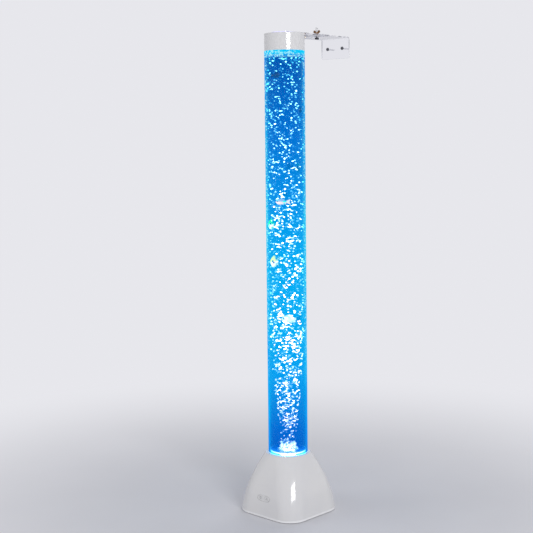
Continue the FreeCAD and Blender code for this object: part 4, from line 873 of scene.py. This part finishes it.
def make_bubbles():
    """Flattened, tilted bubbles in a plume that leaves the air stone and spreads to the tube's wall, with
    drawn out ones among them."""
    draw = random.Random(BUBBLE_SEED)
    ball = unit_ball(2)
    pill = unit_pill(7, 8)
    rises = fish_rises()
    vertices = []
    faces = []
    kinds = (
        (rising_bubble, RISING_BUBBLES, ball),
        (streak, STREAKS, pill),
        (foot_bubble, FOOT_BUBBLES, ball),
        (surface_bubble, SURFACE_BUBBLES, ball),
    )
    for kind, count, (form_vertices, form_faces) in kinds:
        for number in range(count):
            radius, z, (long, deep, tall, wave) = kind(draw, number)
            angle = draw.uniform(0, 2 * math.pi)
            radius = min(radius, math.sqrt((WATER_R - WALL_MARGIN) ** 2 - long * long) - deep)
            z = min(z, WATER_TOP - long - SURFACE_MARGIN)
            centre = Vector((radius * math.cos(angle), radius * math.sin(angle), z))
            if in_fish_way(centre, max(long, deep, tall + wave), rises):
                continue
            across = angle + math.pi / 2 + draw.gauss(0, 0.12 if wave else 1.0)
            turn = Matrix.Rotation(across, 3, "Z")
            tilt = Matrix.Rotation(draw.gauss(0, 0.3), 3, "Y") @ Matrix.Rotation(draw.gauss(0, 0.3), 3, "X")
            shape = turn @ tilt
            start = draw.uniform(0, 2 * math.pi)
            turns = draw.uniform(1.6, 3.2)
            first = len(vertices)
            for point in form_vertices:
                rise = wave * math.sin(turns * point.x + start)
                corner_place = Vector((point.x * long, point.y * deep, point.z * tall + rise))
                vertices.append(centre + shape @ corner_place)
            faces.extend(tuple(first + corner for corner in face) for face in form_faces)
    mesh = bpy.data.meshes.new("bubbles")
    mesh.from_pydata(vertices, [], faces)
    mesh.update()
    mesh_object("bubbles", mesh, "lamp", bubble_skin("bubble_skin"))


# ---- toy fish: node, slot, place in mm, heading, then length, height and thickness in mm, then the paint:
# back, belly, patches, their share and scale, tail, and a mark's colour, place and size ----
FISH = (
    ("fish_black_small", "fish_black", (-2.9, -30.0, 1098.9), 20, (25.0, 14.0, 7.0),
     ((0.003, 0.01, 0.01), (0.004, 0.02, 0.02), (0.03, 0.03, 0.0), 0.66, 230.0, (0.002, 0.01, 0.01),
      ((0.06, 0.05, 0.0), 0.18, 0.40, 0.08))),
    ("fish_black_tail", "fish_black", (27.5, 25.5, 1014.3), 313, (24.0, 15.0, 7.0),
     ((0.001, 0.004, 0.008), (0.003, 0.015, 0.02), (0.005, 0.04, 0.08), 0.64, 220.0, (0.0, 0.0, 0.005),
      ((0.0, 0.0, 0.004), 0.6, 0.5, 0.2))),
    ("fish_dark_blue", "fish_blue", (17.6, -4.1, 874.4), 223, (20.0, 19.0, 8.0),
     ((0.0, 0.003, 0.05), (0.0, 0.005, 0.07), (0.0, 0.20, 0.60), 0.60, 190.0, (0.0, 0.003, 0.08),
      ((0.0, 0.002, 0.03), 0.55, 0.5, 0.2))),
    ("fish_green_dark", "fish_green", (26.7, 17.9, 872.9), 300, (20.0, 23.0, 10.0),
     ((0.0, 0.10, 0.14), (0.0, 0.07, 0.12), (0.0, 0.015, 0.03), 0.57, 170.0, (0.0, 0.02, 0.05),
      ((0.0, 0.01, 0.02), 0.6, 0.45, 0.2))),
    ("fish_spotted", "fish_spotted", (3.3, -7.8, 806.6), 30, (18.0, 10.0, 6.0),
     ((0.0, 0.02, 0.08), (0.0, 0.06, 0.15), (0.0, 0.004, 0.02), 0.50, 220.0, (0.0, 0.02, 0.08),
      ((0.0, 0.003, 0.02), 0.5, 0.5, 0.2))),
    ("fish_pale_blue", "fish_pale", (10.0, -20.7, 789.5), 223, (37.0, 14.0, 9.0),
     ((0.20, 0.30, 0.55), (0.66, 0.52, 0.50), (0.05, 0.60, 0.6), 0.68, 130.0, (0.80, 0.66, 0.55),
      ((0.03, 0.66, 0.6), 0.40, 0.5, 0.15))),
    ("fish_green_white", "fish_green", (-24.0, -24.9, 732.7), 262, (23.0, 24.0, 12.0),
     ((0.02, 0.55, 0.05), (1.0, 0.95, 0.8), (0.0, 0.62, 0.25), 0.60, 140.0, (0.0, 0.50, 0.20),
      ((0.0, 0.01, 0.03), 0.56, 0.60, 0.09))),
    ("fish_yellow_white", "fish_yellow", (-17.9, -23.4, 638.9), 258, (24.0, 26.0, 13.0),
     ((0.80, 0.78, 0.0), (1.0, 0.97, 0.95), (0.95, 0.70, 0.0), 0.64, 120.0, (0.75, 0.75, 0.1),
      ((0.12, 0.0, 0.20), 0.80, 0.40, 0.10))),
    ("fish_long_white", "fish_pale", (17.6, -2.8, 494.9), 223, (50.0, 19.0, 11.0),
     ((0.85, 0.85, 1.0), (1.0, 0.98, 0.98), (0.55, 0.62, 1.0), 0.68, 120.0, (0.0, 0.01, 0.15),
      ((0.35, 0.5, 1.0), 0.45, 0.85, 0.08))),
)
BODY_SHARE = 0.72
BODY_FORM = (
    (0.0, 0.10), (0.03, 0.28), (0.08, 0.48), (0.15, 0.66), (0.25, 0.87), (0.36, 1.0), (0.48, 0.96),
    (0.60, 0.87), (0.72, 0.72), (0.84, 0.52), (0.94, 0.34), (1.0, 0.25),
)
BODY_SIDES = 28


def add_body(vertices, faces, length, height, thick):
    nose = length / 2
    for share, fullness in BODY_FORM:
        x = nose - length * BODY_SHARE * share
        for side in range(BODY_SIDES):
            angle = 2 * math.pi * side / BODY_SIDES
            y = thick / 2 * fullness * math.sin(angle) * (1 - 0.12 * math.cos(2 * angle))
            z = height / 2 * fullness * math.cos(angle)
            vertices.append((x, y, z))
    for ring in range(len(BODY_FORM) - 1):
        for side in range(BODY_SIDES):
            ahead = (side + 1) % BODY_SIDES
            low = ring * BODY_SIDES
            faces.append((low + side, low + ahead, low + BODY_SIDES + ahead, low + BODY_SIDES + side))
    faces.append(tuple(range(BODY_SIDES))[::-1])
    last = (len(BODY_FORM) - 1) * BODY_SIDES
    faces.append(tuple(last + side for side in range(BODY_SIDES)))


def add_fin(vertices, faces, outline, thick, shift=0.0):
    """A fin: a sharp outline round a thicker middle, moved sideways by shift."""
    count = len(outline)
    middle_x = sum(x for x, z in outline) / count
    middle_z = sum(z for x, z in outline) / count
    first = len(vertices)
    for inset, y in ((0.0, 0.0), (0.30, thick / 2), (0.30, -thick / 2)):
        for x, z in outline:
            at_x = x + (middle_x - x) * inset
            at_z = z + (middle_z - z) * inset
            vertices.append((at_x, y + shift, at_z))
    for side in range(count):
        ahead = (side + 1) % count
        faces.append((first + side, first + ahead, first + count + ahead, first + count + side))
        faces.append((first + ahead, first + side, first + 2 * count + side, first + 2 * count + ahead))
    faces.append(tuple(first + count + side for side in range(count)))
    faces.append(tuple(first + 2 * count + side for side in range(count))[::-1])


def make_fish(node, slot, place, heading, size, paint):
    length, height, thick = (value * MM for value in size)
    vertices = []
    faces = []
    add_body(vertices, faces, length, height, thick)
    nose = length / 2
    root_x = nose - length * BODY_SHARE + length * 0.05
    tail_x = -length / 2
    tip = height * 0.46
    tail = [(root_x, height * 0.10), (root_x - length * 0.10, height * 0.24), (tail_x + length * 0.03, tip)]
    tail += [(tail_x, tip * 0.94), (tail_x + length * 0.045, tip * 0.5), (tail_x + length * 0.07, 0.0)]
    tail += [(x, -z) for x, z in tail[4::-1]]
    add_fin(vertices, faces, tail, 0.0013)
    back = nose - length * BODY_SHARE * 0.28
    rear = nose - length * BODY_SHARE * 0.80
    crest = [
        (back, height * 0.40),
        (back - length * 0.10, height * 0.57),
        (back - length * 0.2, height * 0.62),
        (rear - length * 0.02, height * 0.52),
        (rear, height * 0.28),
    ]
    add_fin(vertices, faces, crest, 0.0012)
    under = [(x - length * 0.12, -z * 0.92) for x, z in crest[::-1]]
    add_fin(vertices, faces, [(x, z * 0.86) for x, z in under], 0.0010)
    gill_x = nose - length * BODY_SHARE * 0.36
    for side in (-1, 1):
        pectoral = [
            (gill_x, 0.0),
            (gill_x - length * 0.11, height * 0.10),
            (gill_x - length * 0.13, -height * 0.10),
            (gill_x - length * 0.02, -height * 0.10),
        ]
        add_fin(vertices, faces, pectoral, 0.0008, shift=side * thick * 0.47)
    mesh = bpy.data.meshes.new(node + "_toy")
    mesh.from_pydata(vertices, [], faces)
    mesh.update()
    toy = bpy.data.objects.new(node + "_toy", mesh)
    bpy.context.scene.collection.objects.link(toy)
    mesh.polygons.foreach_set("use_smooth", [True] * len(mesh.polygons))
    mesh.materials.append(fish_skin(node + "_paint", *paint))
    toy.matrix_world = Matrix.Translation(Vector(place) * MM) @ Matrix.Rotation(math.radians(heading), 4, "Z")
    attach(toy, node)
    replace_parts(toy, node)
    eye_mesh = bpy.data.meshes.new(node + "_eyes")
    ball, ball_faces = unit_ball(3)
    eye_r = height * 0.12
    eye_x = nose - length * BODY_SHARE * 0.17
    eye_vertices = []
    eye_faces = []
    for side in (-1, 1):
        first = len(eye_vertices)
        centre = Vector((eye_x, side * thick * 0.335, height * 0.09))
        eye_vertices.extend(centre + Vector((p.x * eye_r, p.y * eye_r * 0.6, p.z * eye_r)) for p in ball)
        eye_faces.extend(tuple(first + corner for corner in face) for face in ball_faces)
    eye_mesh.from_pydata(eye_vertices, [], eye_faces)
    eye_mesh.update()
    eye_mesh.polygons.foreach_set("use_smooth", [True] * len(eye_mesh.polygons))
    eye_mesh.materials.append(EYE)
    eyes = bpy.data.objects.new(node + "_eyes", eye_mesh)
    bpy.context.scene.collection.objects.link(eyes)
    eyes.matrix_world = toy.matrix_world.copy()
    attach(eyes, node)


def eye_paint():
    """A dark pupil in a pale ring, with a painted glow."""
    s = Shade("fish_eye")
    place = s.node("SeparateXYZ", Vector=s.node("TexCoord").outputs["Generated"])
    x = s.math("SUBTRACT", place.outputs["X"], 0.5)
    z = s.math("SUBTRACT", place.outputs["Z"], 0.5)
    far = s.math("SQRT", s.math("ADD", s.math("MULTIPLY", x, x), s.math("MULTIPLY", z, z)))
    colour = s.ramp(far, ((0.36, (0.004, 0.006, 0.06)), (0.40, (0.7, 0.8, 0.9))))
    body = s.node(
        "BsdfPrincipled", Base_Color=colour, Roughness=0.1, Emission_Color=colour, Emission_Strength=0.5
    )
    return s.finish(body)


EYE = eye_paint()


# ---- the room: a pale floor that fades into the same pale background, and soft lights ----
BACKGROUND = (0.80, 0.80, 0.84)


def make_floor():
    bpy.ops.mesh.primitive_circle_add(vertices=96, radius=30.0, fill_type="NGON", location=(0, 0, 0))
    floor = bpy.context.object
    floor.name = "floor"
    s = Shade("floor")
    far = s.node("VectorMath", {"operation": "LENGTH"}, i0=s.position()).outputs["Value"]
    fade = s.ramp(s.between(far, 0.25, 1.6), ((0.0, 0.0), (1.0, 1.0)), True)
    tone = s.ramp(s.noise(3.0, 2.0), ((0.3, (0.70, 0.70, 0.73)), (0.7, (0.73, 0.73, 0.76))))
    ground = s.node("BsdfDiffuse", Color=tone)
    glow = s.node("Emission", Color=rgba(BACKGROUND), Strength=1.0)
    seen = s.node("LightPath").outputs["Is Camera Ray"]
    floor.data.materials.append(s.finish(s.mix(s.math("MULTIPLY", fade, seen), ground, glow)))


def make_world():
    world = bpy.data.worlds.new("world")
    bpy.context.scene.world = world
    world.use_nodes = True
    tree = world.node_tree
    tree.nodes.clear()
    output = tree.nodes.new("ShaderNodeOutputWorld")
    light = tree.nodes.new("ShaderNodeBackground")
    light.inputs["Color"].default_value = (0.93, 0.94, 1.0, 1)
    light.inputs["Strength"].default_value = 0.42
    shown = tree.nodes.new("ShaderNodeBackground")
    shown.inputs["Color"].default_value = rgba(BACKGROUND)
    path = tree.nodes.new("ShaderNodeLightPath")
    seen = tree.nodes.new("ShaderNodeMath")
    seen.operation = "MAXIMUM"
    through = tree.nodes.new("ShaderNodeMath")
    through.operation = "MAXIMUM"
    tree.links.new(path.outputs["Is Camera Ray"], seen.inputs[0])
    tree.links.new(through.outputs[0], seen.inputs[1])
    tree.links.new(path.outputs["Is Transmission Ray"], through.inputs[0])
    tree.links.new(path.outputs["Is Glossy Ray"], through.inputs[1])
    mixed = tree.nodes.new("ShaderNodeMixShader")
    tree.links.new(seen.outputs[0], mixed.inputs[0])
    tree.links.new(light.outputs[0], mixed.inputs[1])
    tree.links.new(shown.outputs[0], mixed.inputs[2])
    tree.links.new(mixed.outputs[0], output.inputs["Surface"])


def area_light(name, azimuth, distance, height, width, tall, power, target):
    data = bpy.data.lights.new(name, "AREA")
    data.shape = "RECTANGLE"
    data.size = width
    data.size_y = tall
    data.energy = power
    lamp = bpy.data.objects.new(name, data)
    angle = math.radians(azimuth)
    place = Vector((math.sin(angle) * distance, -math.cos(angle) * distance, height))
    lamp.location = place
    lamp.rotation_euler = (Vector(target) - place).to_track_quat("-Z", "Y").to_euler()
    bpy.context.scene.collection.objects.link(lamp)
    return lamp


def make_lights():
    """A window to the right, whose mirror image stands on the gloss plastic, and two soft fills."""
    area_light("window", 65.4, 4.2, 2.07, 1.7, 1.26, 80.0, (0, 0, 0.7))
    for fill in (
        area_light("fill_left", -40.0, 3.6, 1.8, 2.4, 2.4, 24.0, (0, 0, 0.5)),
        area_light("top_back", 200.0, 3.0, 3.0, 2.5, 2.0, 34.0, (0, 0, 0.8)),
    ):
        fill.visible_glossy = False


make_camera()
make_world()
make_lights()
make_floor()
dress_nodes()
make_water()
make_bubbles()
for row in FISH:
    make_fish(*row)

bpy.context.scene.view_settings.view_transform = "Standard"
